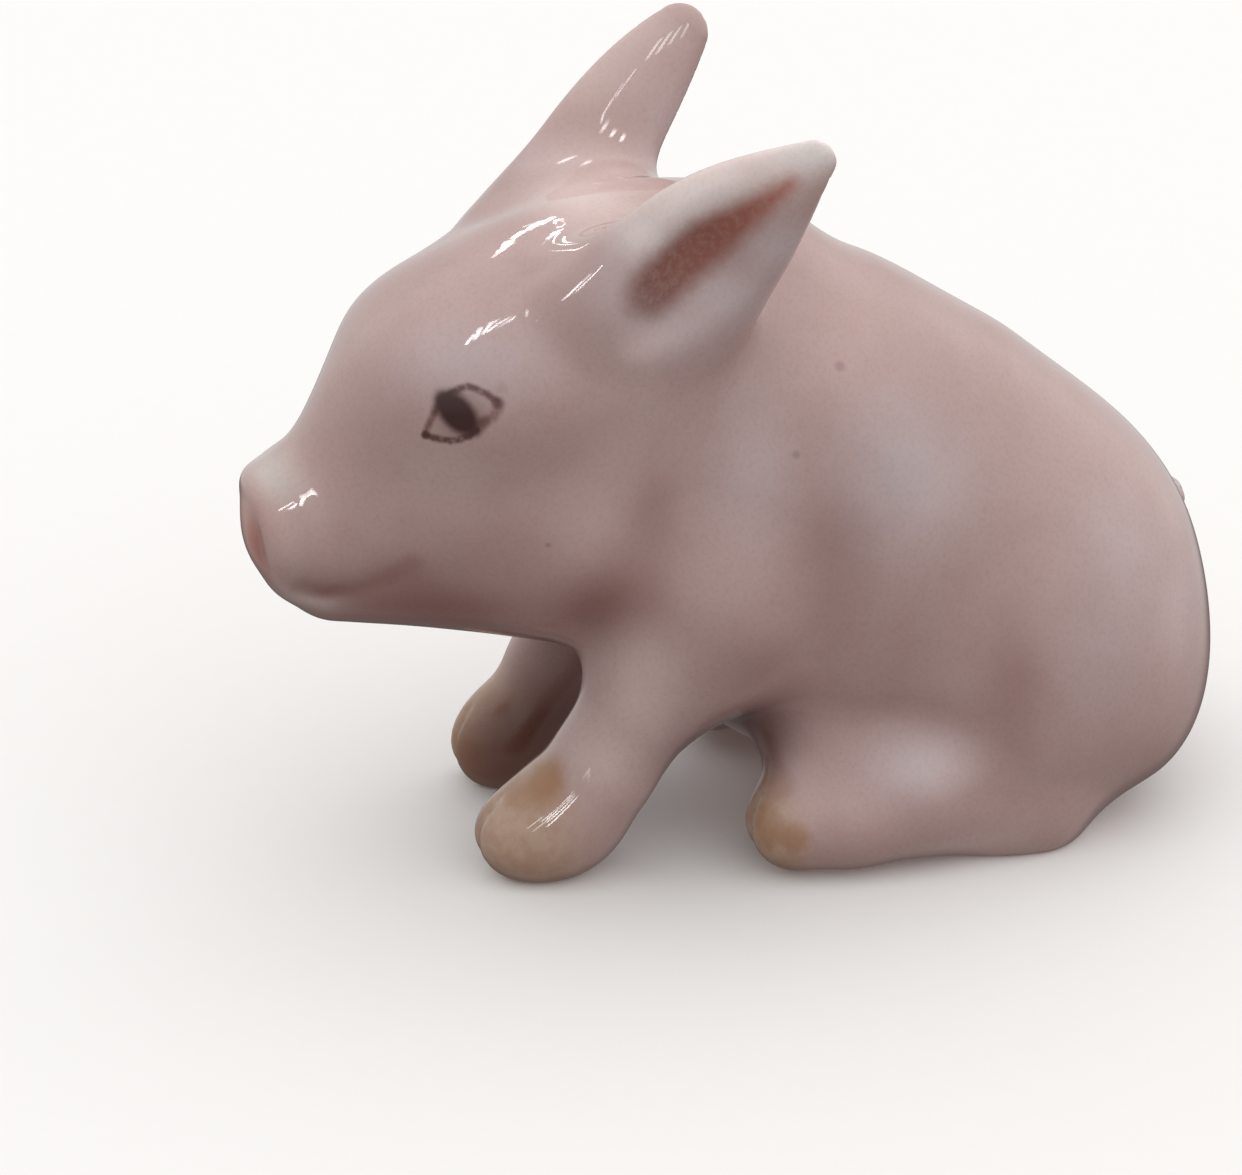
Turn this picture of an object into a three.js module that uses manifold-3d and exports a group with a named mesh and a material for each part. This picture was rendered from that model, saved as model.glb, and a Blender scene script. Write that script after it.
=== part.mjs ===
// Sitting ceramic piglet, 32 mm long, built from the clay pieces that are cast or
// pressed on their own and luted together before firing.
// Millimetres, +Z up, the piglet faces -Y and its left side is +X.
//
// The outer form is one smooth distance field, body(p), made of blended ellipsoids
// and round cones. Each piece starts as a three.js capsule whose vertices are moved
// out along their rays to that surface, and is then cut at its luting seams.
import * as THREE from 'three';
import { mergeVertices } from 'three/addons/utils/BufferGeometryUtils.js';
import Module from 'manifold-3d';

// ---------------------------------------------------------------- dimensions
const WALL = 1.8;            // thickness of the cast shell of torso and head
const GAP = 0.3;             // slip joint between neighbouring pieces
const VENT_R = 1.2;          // vent and drain hole in the underside
const VENT_Y = 6.6;          // its place along the body
const SHIFT = [0, 1.1305, 0];       // brings the middle of the box to the origin
const SEAM = {
  neck: { at: [0, -5.2, 15.0], dir: [0, -0.958, 0.287] },          // towards the head
  foreLeft: { at: [3.3, -4.7, 6.3], dir: [0, -0.42, -0.907] },      // towards the hoof
  foreRight: { at: [-3.3, -4.6, 6.4], dir: [0, -0.42, -0.907] },
  hindTop: { y: 3.0, z: 4.75, slope: -0.22 },                       // inclined top seam
  hindInner: 3.0, hindRear: 9.0, hindFront: -2.6,
  earFoot: 0.4,              // where the flared foot of an ear starts, along its axis
  earTrim: 0.3, foreTrim: 0.35, hindTrim: 0.7,   // how far a piece's foot spreads past its own form
};
// head placing: turned to the left and leaning a little, about the neck pivot
const HEAD_PIVOT = [0, -4.5, 13.5], HEAD_LEAN = 1.39, HEAD_TURN = 4.32;
// ears: root, tip, half widths along the length, roll, bow in width, bow in depth
const EARS = {
  left: { side: 1, b: [3.387, -5.724, 18.939], t: [6.169, -1.075, 24.979], r: [2.071, 3.423, 1.868, 0.713], roll: 26.87, bu: 0.27, bm: 0.026 },
  right: { side: -1, b: [-3.403, -6.792, 18.544], t: [-6.038, -1.103, 24.695], r: [2.306, 1.894, 2.008, 0.978], roll: 4.26, bu: 0.209, bm: 0.223 },
};
const EAR_FLAT = 2.5;        // how much wider than thick an ear is
const TAIL = [[-1.15, 14.28, 8.75, 0.58], [-1.75, 14.40, 8.65, 0.55], [-2.5, 14.34, 8.2, 0.51], [-2.85, 14.43, 7.4, 0.46],
  [-2.5, 14.69, 6.7, 0.42], [-1.85, 14.88, 6.7, 0.38], [-1.6, 14.89, 7.25, 0.33], [-1.85, 14.80, 7.55, 0.26]];
const MOUTH = [[-16.75, 11.35], [-16.1, 10.95], [-15.3, 10.72], [-14.4, 10.75], [-13.6, 11.15], [-12.9, 11.8]];

// ---------------------------------------------------------------- small maths
const { sqrt, abs, min, max, exp, sin, cos, hypot, sign, PI } = Math;
const rad = (d) => d * PI / 180;
const clamp = (v, a = 0, b = 1) => min(max(v, a), b);
const smin = (a, b, k) => { const h = max(k - abs(a - b), 0) / k; return min(a, b) - h * h * k * 0.25; };
const smax = (a, b, k) => -smin(-a, -b, k);
const bump = (v, w) => exp(-(v / w) * (v / w));
const sub = (a, b) => [a[0] - b[0], a[1] - b[1], a[2] - b[2]];
const dot = (a, b) => a[0] * b[0] + a[1] * b[1] + a[2] * b[2];
const cross = (a, b) => [a[1] * b[2] - a[2] * b[1], a[2] * b[0] - a[0] * b[2], a[0] * b[1] - a[1] * b[0]];
const unit = (a) => { const l = sqrt(dot(a, a)); return [a[0] / l, a[1] / l, a[2] / l]; };

function ell(p, c, r, rx = 0) {
  let x = p[0] - c[0], y = p[1] - c[1], z = p[2] - c[2];
  if (rx) { const C = cos(rad(rx)), S = sin(rad(rx)); [y, z] = [y * C + z * S, -y * S + z * C]; }
  const k0 = sqrt((x / r[0]) ** 2 + (y / r[1]) ** 2 + (z / r[2]) ** 2);
  const k1 = sqrt((x / r[0] ** 2) ** 2 + (y / r[1] ** 2) ** 2 + (z / r[2] ** 2) ** 2);
  return k0 * (k0 - 1) / max(k1, 1e-6);
}
function rcone(p, a, b, r1, r2) {
  const ba = sub(b, a), l2 = dot(ba, ba), rr = r1 - r2, a2 = l2 - rr * rr, il2 = 1 / l2;
  const pa = sub(p, a), y = dot(pa, ba), z = y - l2;
  const w = [pa[0] * l2 - y * ba[0], pa[1] * l2 - y * ba[1], pa[2] * l2 - y * ba[2]];
  const x2 = dot(w, w), y2 = y * y * l2, z2 = z * z * l2, k = sign(rr) * rr * rr * x2;
  if (sign(z) * a2 * z2 > k) return sqrt(x2 + z2) * il2 - r2;
  if (sign(y) * a2 * y2 < k) return sqrt(x2 + y2) * il2 - r1;
  return (sqrt(x2 * a2 * il2) + y * rr) * il2 - r1;
}
function disc(p, c, axis, r, h, rd) {
  const q = sub(p, c), n = unit(axis), y = dot(q, n);
  const d = hypot(q[0] - y * n[0], q[1] - y * n[1], q[2] - y * n[2]);
  const dx = d - (r - rd), dy = abs(y) - (h - rd);
  return min(max(dx, dy), 0) + hypot(max(dx, 0), max(dy, 0)) - rd;
}
function lineDist(y, z, pts) {
  let d = 9;
  for (let i = 0; i < pts.length - 1; i++) {
    const [y0, z0] = pts[i], ey = pts[i + 1][0] - y0, ez = pts[i + 1][1] - z0;
    const t = clamp(((y - y0) * ey + (z - z0) * ez) / (ey * ey + ez * ez));
    d = min(d, hypot(y - y0 - t * ey, z - z0 - t * ez));
  }
  return d;
}

// ---------------------------------------------------------------- the form
const HM = (() => {                                  // lean about Y, then turn about Z
  const cy = cos(rad(HEAD_LEAN)), sy = sin(rad(HEAD_LEAN)), cz = cos(rad(HEAD_TURN)), sz = sin(rad(HEAD_TURN));
  return [[cz * cy, -sz, cz * sy], [sz * cy, cz, sz * sy], [-sy, 0, cy]];
})();
const toHead = (p) => {
  const q = sub(p, HEAD_PIVOT);
  return [0, 1, 2].map((j) => q[0] * HM[0][j] + q[1] * HM[1][j] + q[2] * HM[2][j] + HEAD_PIVOT[j]);
};
const fromHead = (p) => {
  const q = sub(p, HEAD_PIVOT);
  return [0, 1, 2].map((i) => q[0] * HM[i][0] + q[1] * HM[i][1] + q[2] * HM[i][2] + HEAD_PIVOT[i]);
};
const fromHeadDir = (q) => [0, 1, 2].map((i) => q[0] * HM[i][0] + q[1] * HM[i][1] + q[2] * HM[i][2]);
for (const e of Object.values(EARS)) {
  const d = sub(e.t, e.b); e.L = sqrt(dot(d, d)); e.A = unit(d);
  const ref = [0, -1, 0], k = dot(ref, e.A);
  const U = unit([ref[0] - e.A[0] * k, ref[1] - e.A[1] * k, ref[2] - e.A[2] * k]);
  let N = cross(U, e.A); if (N[0] * e.side < 0) N = N.map((v) => -v);
  const c = cos(rad(e.roll)), s = sin(rad(e.roll));
  e.U = U.map((v, i) => v * c - N[i] * s); e.N = U.map((v, i) => v * s + N[i] * c);
}
function ear(q, e) {
  const p = sub(q, e.b), a = dot(p, e.A), u0 = dot(p, e.U), m0 = dot(p, e.N), [r0, r1, r2, r3] = e.r, f = EAR_FLAT;
  let s = clamp(a / e.L), c = 4 * s * (1 - s);
  const rho0 = hypot(u0 - e.bu * c, f * (m0 - e.bm * c));
  const dr = 3 * ((r1 - r0) * (1 - s) ** 2 + 2 * (r2 - r1) * s * (1 - s) + (r3 - r2) * s * s) / e.L;
  s = clamp((a + min(rho0, 2.5) * dr) / e.L); c = 4 * s * (1 - s);
  const u = u0 - e.bu * c, m = m0 - e.bm * c, o = a - s * e.L;
  const r = r0 * (1 - s) ** 3 + 3 * r1 * s * (1 - s) ** 2 + 3 * r2 * s * s * (1 - s) + r3 * s ** 3;
  const rho = sqrt(u * u + f * f * m * m + o * o + 1e-4);
  const g = sqrt(u * u + f ** 4 * m * m + o * o + 1e-4) / rho;
  // the shallow hollow in the outer face
  const ra = e.L * 0.5, ru = 1.75, rm = 1.55, qa = (a - e.L * 0.42) / ra, qu = u / ru, qm = (m - 1.75) / rm;
  const k0 = sqrt(qa * qa + qu * qu + qm * qm), k1 = sqrt((qa / ra) ** 2 + (qu / ru) ** 2 + (qm / rm) ** 2);
  return smax((rho - r) / g, -k0 * (k0 - 1) / max(k1, 1e-6), 0.6);
}
function torsoForm(p) {
  let d = ell(p, [0, 8.77, 6.52], [6.3, 5.95, 6.63]);                            // rump
  d = smin(d, ell(p, [0, 3.08, 9.59], [6.0, 9.2, 8.03], -36.23), 2.5);           // barrel
  d = smin(d, ell(p, [0, -0.15, 13.09], [4.8, 5.04, 6.53], -20), 2.5);           // chest
  const pa = [sqrt(p[0] * p[0] + 0.36), p[1], p[2]];
  d = smin(d, ell(pa, [2.4, 10.99, 3.97], [3.4, 2.45, 2.94]), 3.0);              // buttocks
  return smin(d, ell(pa, [3.2, 7.13, 4.42], [3.7, 4.05, 6.53], 4), 1.3);         // thighs
}
const neckForm = (p) => rcone(p, [0, -0.73, 13.33], [0, -6.0, 14.6], 4.84, 4.1);
const shoulders = (p) => min(
  rcone(p, [2.5, 0.4, 14.9], [3.0, -2.68, 9.47], 2.45, 2.9),
  rcone(p, [-2.5, 0.4, 14.9], [-3.05, -2.6, 10.6], 2.45, 2.65));
function headForm(q) {
  const qa = [abs(q[0]), q[1], q[2]];
  let d = ell(q, [0, -6.63, 16.9], [4.7, 8.59, 4.79], 15.2);                     // skull
  d = smin(d, ell(qa, [2.2, -7.26, 11.78], [2.75, 3.58, 3.68]), 1.8);            // cheeks
  d = smin(d, rcone(q, [0, -10.99, 12.53], [0, -14.85, 12.17], 3.53, 2.61), 2.2);// snout
  d = smin(d, ell(qa, [2.35, -10.3, 17.1], [1.6, 2.2, 1.3]), 2.6);               // brows
  d = smin(d, rcone(q, [0, -8.01, 10.88], [0, -14.48, 10.05], 3.41, 1.35), 1.0); // jaw
  d = smin(d, disc(q, [0, -16.11, 12.14], [0, -1, -0.25], 2.04, 0.75, 0.45), 0.9);
  d = smin(d, ell(qa, [2.9, -5.6, 19.8], [1.6, 2.6, 1.4]), 1.4);                 // clay at the ear roots
  const fade = clamp((-12.6 - q[1]) / 1.2) * clamp((q[1] + 17.2) / 0.6);
  d += 0.12 * bump(lineDist(q[1], q[2], MOUTH), 0.45) * fade;                    // mouth
  return d + 0.20 * exp(-(((qa[0] - 1.0) / 0.42) ** 2 + ((q[1] + 16.95) / 0.7) ** 2 + ((q[2] - 12.3) / 0.72) ** 2));
}
function foreleg(p, s) {
  let d, h, r;
  if (s > 0) {
    d = rcone(p, [3.2, -2.68, 9.47], [3.45, -6.76, 3.17], 2.99, 1.32);
    d = smin(d, rcone(p, [3.45, -6.76, 3.17], [3.25, -7.39, 2.23], 1.32, 1.61), 1.8);
    h = [3.2, -8.48, 1.40]; r = [1.75, 2.15, 1.72];
  } else {
    d = rcone(p, [-3.2, -2.6, 10.6], [-3.45, -6.03, 4.16], 2.65, 1.42);
    d = smin(d, rcone(p, [-3.45, -6.03, 4.16], [-3.25, -7.57, 2.29], 1.42, 1.37), 1.8);
    h = [-3.2, -8.21, 1.36]; r = [1.6, 1.83, 1.68];
  }
  d = smin(d, ell(p, h, r), 1.2);
  const w = clamp((h[1] - 0.2 - p[1]) / 1.0) * clamp((3.0 - p[2]) / 0.8);
  return d + 0.22 * bump(p[0] - h[0], 0.22) * w;                                 // toe cleft
}
function hindleg(p, s) {
  const q = [p[0] * s, p[1], p[2]];
  let d = rcone(q, [5.0, -0.35, 1.69], [5.3, 1.53, 1.74], 1.67, 1.42);
  d = smin(d, rcone(q, [5.3, 1.53, 1.74], [5.2, 7.74, 1.08], 1.42, 1.2), 1.2);
  d = smin(d, ell(q, [5.1, 3.8, 2.45], [2.0, 2.4, 1.95]), 0.9);
  d = smin(d, rcone(q, [4.6, 3.8, 2.9], [3.7, 0.39, 3.73], 1.5, 1.49), 1.2);
  const w = clamp((-0.7 - q[1]) / 1.0) * clamp((3.0 - q[2]) / 0.8);
  return d + 0.20 * bump(q[0] - 5.0, 0.22) * w;
}
function body(p, withEars = true) {
  const q = toHead(p);
  let d = torsoForm(p);
  d = smin(d, neckForm(p), 2.2);
  d = smin(d, shoulders(p), 2.4);
  let h = headForm(q);
  if (withEars) h = smin(h, min(ear(q, EARS.left), ear(q, EARS.right)), 2.0);
  d = smin(d, h, 1.3);
  d = smin(smin(d, foreleg(p, 1), 2.0), foreleg(p, -1), 2.0);
  d = smin(smin(d, hindleg(p, 1), 1.3), hindleg(p, -1), 1.3);
  return smax(d, -p[2], 0.16);
}

// ---------------------------------------------------------------- seam blocks
// A seam block is an oriented box that holds one piece of the form.
function block(origin, X, Y, Z, lo, hi) { return { origin, X, Y, Z, lo, hi }; }
function blockDist(p, b) {
  const q = sub(p, b.origin), v = [dot(q, b.X), dot(q, b.Y), dot(q, b.Z)];
  let o = 0, inside = -1e9;
  for (let i = 0; i < 3; i++) { const e = max(b.lo[i] - v[i], v[i] - b.hi[i]); inside = max(inside, e); o += max(e, 0) ** 2; }
  return inside > 0 ? sqrt(o) : inside;
}
function planeBlock(at, dir, x, y, depth) {
  const Z = unit(dir), X = unit(cross([0, 1, 0], Z)), Y = cross(Z, X);
  return block(at, X, Y, Z, [x[0], y[0], 0], [x[1], y[1], depth]);
}
const B = {};
B.head = planeBlock(SEAM.neck.at, SEAM.neck.dir, [-14, 14], [-14, 14], 24);
B.foreL = planeBlock(SEAM.foreLeft.at, SEAM.foreLeft.dir, [-2.8, 2.8], [-4.6, 2.8], 12);
B.foreR = planeBlock(SEAM.foreRight.at, SEAM.foreRight.dir, [-2.8, 2.8], [-4.6, 2.8], 12);
{
  const t = unit([0, 1, SEAM.hindTop.slope]), n = [0, -t[2], t[1]];   // along the seam, and up from it
  for (const [name, s] of [['hindL', 1], ['hindR', -1]]) {
    B[name] = block([s * SEAM.hindInner, SEAM.hindTop.y, SEAM.hindTop.z], [s, 0, 0], t, n,
      [0, SEAM.hindFront - SEAM.hindTop.y, -9], [8, SEAM.hindRear - SEAM.hindTop.y, 0]);
  }
}
for (const [name, e] of [['earL', EARS.left], ['earR', EARS.right]]) {
  const A = fromHeadDir(e.A), U = fromHeadDir(e.U), N = cross(A, U);
  B[name] = block(fromHead(e.b), U, N, A, [-4.2, -3.2, SEAM.earFoot], [4.2, 3.2, 12]);
}

// ---------------------------------------------------------------- meshing
const wasm = await Module();
wasm.setup();
function solid(geometry) {
  const g = geometry.clone();
  g.deleteAttribute('normal'); g.deleteAttribute('uv');
  const m = mergeVertices(g, 1e-4), idx = m.index.array, tri = [];
  for (let i = 0; i < idx.length; i += 3) {
    const a = idx[i], b = idx[i + 1], c = idx[i + 2];
    if (a !== b && b !== c && a !== c) tri.push(a, b, c);
  }
  return new wasm.Manifold(new wasm.Mesh({
    numProp: 3, vertProperties: new Float32Array(m.attributes.position.array), triVerts: new Uint32Array(tri),
  }));
}
function toGeometry(man) {
  const m = man.getMesh(), g = new THREE.BufferGeometry();
  const pos = new Float32Array(m.vertProperties.length / m.numProp * 3);
  for (let i = 0, j = 0; i < m.vertProperties.length; i += m.numProp) for (let k = 0; k < 3; k++) pos[j++] = m.vertProperties[i + k];
  g.setAttribute('position', new THREE.BufferAttribute(pos, 3));
  g.setIndex(new THREE.BufferAttribute(new Uint32Array(m.triVerts), 1));
  g.computeVertexNormals();
  return g;
}
// a block as a solid, grown or shrunk by e on every face
function blockSolid(b, e = 0) {
  const s = [0, 1, 2].map((i) => b.hi[i] - b.lo[i] + 2 * e), c = [0, 1, 2].map((i) => (b.hi[i] + b.lo[i]) / 2);
  const g = new THREE.BoxGeometry(s[0], s[1], s[2]);
  g.translate(c[0], c[1], c[2]);
  const X = new THREE.Vector3(...b.X), Y = new THREE.Vector3(...b.Y), Z = new THREE.Vector3(...b.Z);
  const flip = X.clone().cross(Y).dot(Z) < 0;
  if (flip) { g.scale(-1, 1, 1); X.negate(); const ix = g.index.array; for (let i = 0; i < ix.length; i += 3) [ix[i], ix[i + 1]] = [ix[i + 1], ix[i]]; }
  g.applyMatrix4(new THREE.Matrix4().makeBasis(X, Y, Z).setPosition(...b.origin));
  return solid(g);
}
// Where the ray from c along d leaves the region where field < 0.
function reach(field, c, d) {
  const at = (t) => field([c[0] + d[0] * t, c[1] + d[1] * t, c[2] + d[2] * t]);
  let t = 0, v = at(0), t0 = 0;
  if (v >= 0) return 0.05;
  for (let i = 0; i < 400 && v < 0; i++) { t0 = t; t += max(-v * 0.7, 0.03); v = at(t); }
  let t1 = t;
  for (let i = 0; i < 18; i++) { const m = (t0 + t1) / 2; if (at(m) < 0) t0 = m; else t1 = m; }
  return (t0 + t1) / 2;
}
// A capsule laid on the line from a to b (through mid where given), every vertex
// moved out to the surface of the field.
function skin(field, a, b, around, along, caps, mid = null) {
  const g = new THREE.CapsuleGeometry(1, 1, caps, around, along);
  const A = new THREE.Vector3(...a), Bv = new THREE.Vector3(...b);
  const M = mid ? new THREE.Vector3(...mid) : A.clone().add(Bv).multiplyScalar(0.5);
  const curve = new THREE.QuadraticBezierCurve3(A, M, Bv);
  const Y = Bv.clone().sub(A).normalize();
  const X = new THREE.Vector3(1, 0, 0).addScaledVector(Y, -Y.x).normalize(), Z = X.clone().cross(Y);
  const pos = g.attributes.position;
  for (let i = 0; i < pos.count; i++) {
    const x = pos.getX(i), y = pos.getY(i), z = pos.getZ(i), s = clamp(y + 0.5);
    const c = curve.getPoint(s), l = [x, y - clamp(y, -0.5, 0.5), z], n = unit(l.map((v) => (abs(v) < 1e-9 ? 0 : v)));
    const d = X.clone().multiplyScalar(n[0]).addScaledVector(Y, n[1]).addScaledVector(Z, n[2]);
    const t = reach(field, [c.x, c.y, c.z], [d.x, d.y, d.z]);
    pos.setXYZ(i, c.x + d.x * t, c.y + d.y * t, c.z + d.z * t);
  }
  return solid(g);
}
const outside = (p, b, over = 1.2) => -over - blockDist(p, b);    // a skin runs this far past its seam
const within = (p, b, over = 0.6) => blockDist(p, b) - over;       // and is cut at the seam afterwards

// ---------------------------------------------------------------- pieces
const cutters = Object.fromEntries(Object.entries(B).map(([k, b]) => [k, blockSolid(b)]));
const holders = Object.fromEntries(Object.entries(B).map(([k, b]) => [k, blockSolid(b, -GAP)]));
const limbs = ['foreL', 'foreR', 'hindL', 'hindR'];

const noEars = (p) => body(p, false);
let torso = skin((p) => max(noEars(p), outside(p, B.head, 1.6), ...limbs.map((k) => outside(p, B[k]))),
  [0, 8.2, 6.4], [0, -0.6, 12.2], 56, 14, 14, [0, 4.0, 9.6]);
torso = torso.subtract(cutters.head);
for (const k of limbs) torso = torso.subtract(cutters[k]);
// the cast hollow, open at the neck, and the vent in the underside
const hollow = skin((p) => max(noEars(p) + WALL, blockDist(p, B.head) < 0 ? -blockDist(p, B.head) - 1.2 : -9,
  ...limbs.map((k) => WALL - blockDist(p, B[k]))), [0, 8.0, 6.6], [0, -1.0, 12.6], 28, 8, 7, [0, 4.0, 9.8]);
torso = torso.subtract(hollow);
const vent = new THREE.CylinderGeometry(VENT_R, VENT_R, 8, 28);
vent.rotateX(PI / 2); vent.translate(0, VENT_Y, 1.0);
torso = torso.subtract(solid(vent));

let head = skin((p) => max(noEars(p), within(p, B.head, 1.4)),
  [0, -6.4, 15.6], [0.75, -13.6, 12.4], 52, 12, 14, [0.2, -9.6, 14.8]);
head = head.intersect(holders.head);
const headHollow = skin((p) => max(noEars(p) + WALL, blockDist(p, B.head) - 1.2),
  [0, -5.6, 15.4], [0.5, -11.4, 13.6], 24, 6, 6, [0.1, -8.6, 15.0]);
head = head.subtract(headHollow);

// The ears are luted onto the finished skull, so their feet are shaped to its surface.
const skull = skin((p) => max(noEars(p) - GAP, p[1] - 5), [0, 3.0, 13.4], [0.75, -13.6, 12.4], 88, 44, 18, [0.1, -6.0, 16.0]);
const largest = (man) => man.decompose().sort((a, b) => b.volume() - a.volume())[0];
const earPiece = (name, e) => {
  const at = (a) => fromHead([0, 1, 2].map((i) => e.b[i] + e.A[i] * a + e.U[i] * e.bu * 0.8 - e.N[i] * 0.25));
  const field = (p) => { const q = toHead(p); const o = ear(q, e); return max(smin(o, headForm(q), 2.0), o - SEAM.earTrim, within(p, B[name])); };
  return largest(skin(field, at(2.4), at(e.L - 0.6), 32, 12, 7).intersect(holders[name]).subtract(skull));
};
const leftEar = earPiece('earL', EARS.left), rightEar = earPiece('earR', EARS.right);

const leg = (name, form, s, trim, a, b, mid, fine = [30, 8, 7]) => skin((p) => max(noEars(p), form(p, s) - trim, within(p, B[name], 1.0)),
  a, b, ...fine, mid).intersect(holders[name]);
const leftFore = leg('foreL', foreleg, 1, SEAM.foreTrim, [3.35, -4.9, 6.1], [3.25, -8.0, 1.7], [3.45, -6.5, 3.6]);
const rightFore = leg('foreR', foreleg, -1, SEAM.foreTrim, [-3.35, -4.9, 6.3], [-3.25, -7.9, 1.6], [-3.45, -6.3, 3.8]);
const leftHind = leg('hindL', hindleg, 1, SEAM.hindTrim, [5.0, 7.2, 1.6], [4.9, -0.4, 1.9], [5.0, 3.6, 2.6], [44, 16, 9]);
const rightHind = leg('hindR', hindleg, -1, SEAM.hindTrim, [-5.0, 7.2, 1.6], [-4.9, -0.4, 1.9], [-5.0, 3.6, 2.6], [44, 16, 9]);

// the tail: a tapering roll along its coil, its inner side shaped to the rump
function tailRoll() {
  const curve = new THREE.CatmullRomCurve3(TAIL.map((t) => new THREE.Vector3(t[0], t[1], t[2])));
  const N = 22, frames = curve.computeFrenetFrames(N, false), g = new THREE.CapsuleGeometry(1, 1, 4, 12, N);
  const pos = g.attributes.position, radius = (s) => TAIL[0][3] + (TAIL[TAIL.length - 1][3] - TAIL[0][3]) * s;
  for (let i = 0; i < pos.count; i++) {
    const x = pos.getX(i), y = pos.getY(i), z = pos.getZ(i), s = clamp(y + 0.5), k = Math.round(s * N);
    const c = curve.getPointAt(s), n = frames.normals[k], b = frames.binormals[k], t = frames.tangents[k];
    const r = radius(s), l = y - clamp(y, -0.5, 0.5);
    pos.setXYZ(i, ...['x', 'y', 'z'].map((m) => c[m] + r * (n[m] * z + b[m] * x + t[m] * l)));
  }
  return solid(g);
}
const rumpSkin = skin((p) => noEars(p) - GAP, [0, 9.6, 7.4], [0, 7.4, 9.0], 72, 4, 24);
const tail = tailRoll().subtract(rumpSkin);

// ---------------------------------------------------------------- the assembly
const glaze = (color, roughness = 0.16) => new THREE.MeshStandardMaterial({ color, roughness, metalness: 0 });
const figurine = new THREE.Group();
figurine.name = 'ceramic_pig_figurine';
const add = (name, man, material) => {
  const mesh = new THREE.Mesh(toGeometry(man), material);
  mesh.name = name;
  figurine.add(mesh);
};
add('torso', torso, glaze(0xd2beb6));
add('head', head, glaze(0xd0bab3));
add('left_ear', leftEar, glaze(0xcdb6b0));
add('right_ear', rightEar, glaze(0xcdb8b2));
add('left_foreleg', leftFore, glaze(0xcab3a8));
add('right_foreleg', rightFore, glaze(0xc6ae9f));
add('left_hind_leg', leftHind, glaze(0xcbb5a9));
add('right_hind_leg', rightHind, glaze(0xc8b1a4));
add('tail', tail, glaze(0xcfb5ac));
figurine.position.set(...SHIFT);

export default figurine;
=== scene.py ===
"""Looks of a small glazed ceramic piglet sitting on its haunches.

The outer form is a smooth distance field in millimetres. It is meshed finely, split into
the nine clay pieces at the same seams as the CAD model, and painted with sprayed colours
under a clear glaze; many of the sprayed strokes are painted shade and painted light."""
import math

import bpy
import numpy as np
from mathutils import Matrix, Vector


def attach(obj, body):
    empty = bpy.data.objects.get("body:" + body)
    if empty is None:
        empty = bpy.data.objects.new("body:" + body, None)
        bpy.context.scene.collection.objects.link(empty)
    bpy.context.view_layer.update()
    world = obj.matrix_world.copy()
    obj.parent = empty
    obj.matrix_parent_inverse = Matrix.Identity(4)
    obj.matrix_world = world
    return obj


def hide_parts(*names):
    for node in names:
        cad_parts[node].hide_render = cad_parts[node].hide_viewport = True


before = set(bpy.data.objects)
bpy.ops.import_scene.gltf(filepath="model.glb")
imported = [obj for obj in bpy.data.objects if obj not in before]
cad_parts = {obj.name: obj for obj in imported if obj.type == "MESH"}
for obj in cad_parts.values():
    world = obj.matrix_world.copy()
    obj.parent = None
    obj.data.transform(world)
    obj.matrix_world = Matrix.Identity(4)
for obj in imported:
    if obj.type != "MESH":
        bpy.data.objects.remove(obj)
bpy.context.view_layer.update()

SHIFT = np.array([0.0, 1.1305, 0.0])        # mm, the form's own origin to the row's
CELL = 0.14          # mm, size of a mesh face
F4 = np.float32


# ------------------------------------------------------------------ the form
def V(*a):
    return np.array(a, F4)


def rot_x(t):
    c, s = math.cos(t), math.sin(t)
    return np.array([[1, 0, 0], [0, c, -s], [0, s, c]], F4)


def rot_y(t):
    c, s = math.cos(t), math.sin(t)
    return np.array([[c, 0, s], [0, 1, 0], [-s, 0, c]], F4)


def rot_z(t):
    c, s = math.cos(t), math.sin(t)
    return np.array([[c, -s, 0], [s, c, 0], [0, 0, 1]], F4)


def ell(p, c, r, rx=0.0):
    q = p - V(*c)
    if rx:
        q = q @ rot_x(math.radians(rx))
    r = V(*r)
    k0 = np.linalg.norm(q / r, axis=-1)
    k1 = np.linalg.norm(q / (r * r), axis=-1)
    return k0 * (k0 - 1) / np.maximum(k1, 1e-6)


def rcone(p, a, b, r1, r2):
    a = V(*a); b = V(*b)
    ba = b - a; l2 = float(ba @ ba); rr = r1 - r2; a2 = l2 - rr * rr; il2 = 1 / l2
    pa = p - a; y = pa @ ba; z = y - l2
    w = pa * l2 - y[..., None] * ba
    x2 = (w * w).sum(-1); y2 = y * y * l2; z2 = z * z * l2
    k = np.sign(rr) * rr * rr * x2
    out = (np.sqrt(x2 * a2 * il2) + y * rr) * il2 - r1
    out = np.where(np.sign(y) * a2 * y2 < k, np.sqrt(x2 + y2) * il2 - r1, out)
    return np.where(np.sign(z) * a2 * z2 > k, np.sqrt(x2 + z2) * il2 - r2, out)


def smin(a, b, k):
    h = np.maximum(k - np.abs(a - b), 0) / k
    return np.minimum(a, b) - h * h * k * 0.25


def smax(a, b, k):
    return -smin(-a, -b, k)


def disc(p, c, axis, r, h, rd):
    q = p - V(*c); ax = V(*axis); ax = ax / np.linalg.norm(ax)
    y = q @ ax; rad = np.linalg.norm(q - y[..., None] * ax, axis=-1)
    dx = rad - (r - rd); dy = np.abs(y) - (h - rd)
    return np.minimum(np.maximum(dx, dy), 0) + np.hypot(np.maximum(dx, 0), np.maximum(dy, 0)) - rd


def bell(v, w):
    return np.exp(-(v / w) ** 2)


def step(v, a, b):
    t = np.clip((v - a) / (b - a), 0, 1)
    return t * t * (3 - 2 * t)


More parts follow.
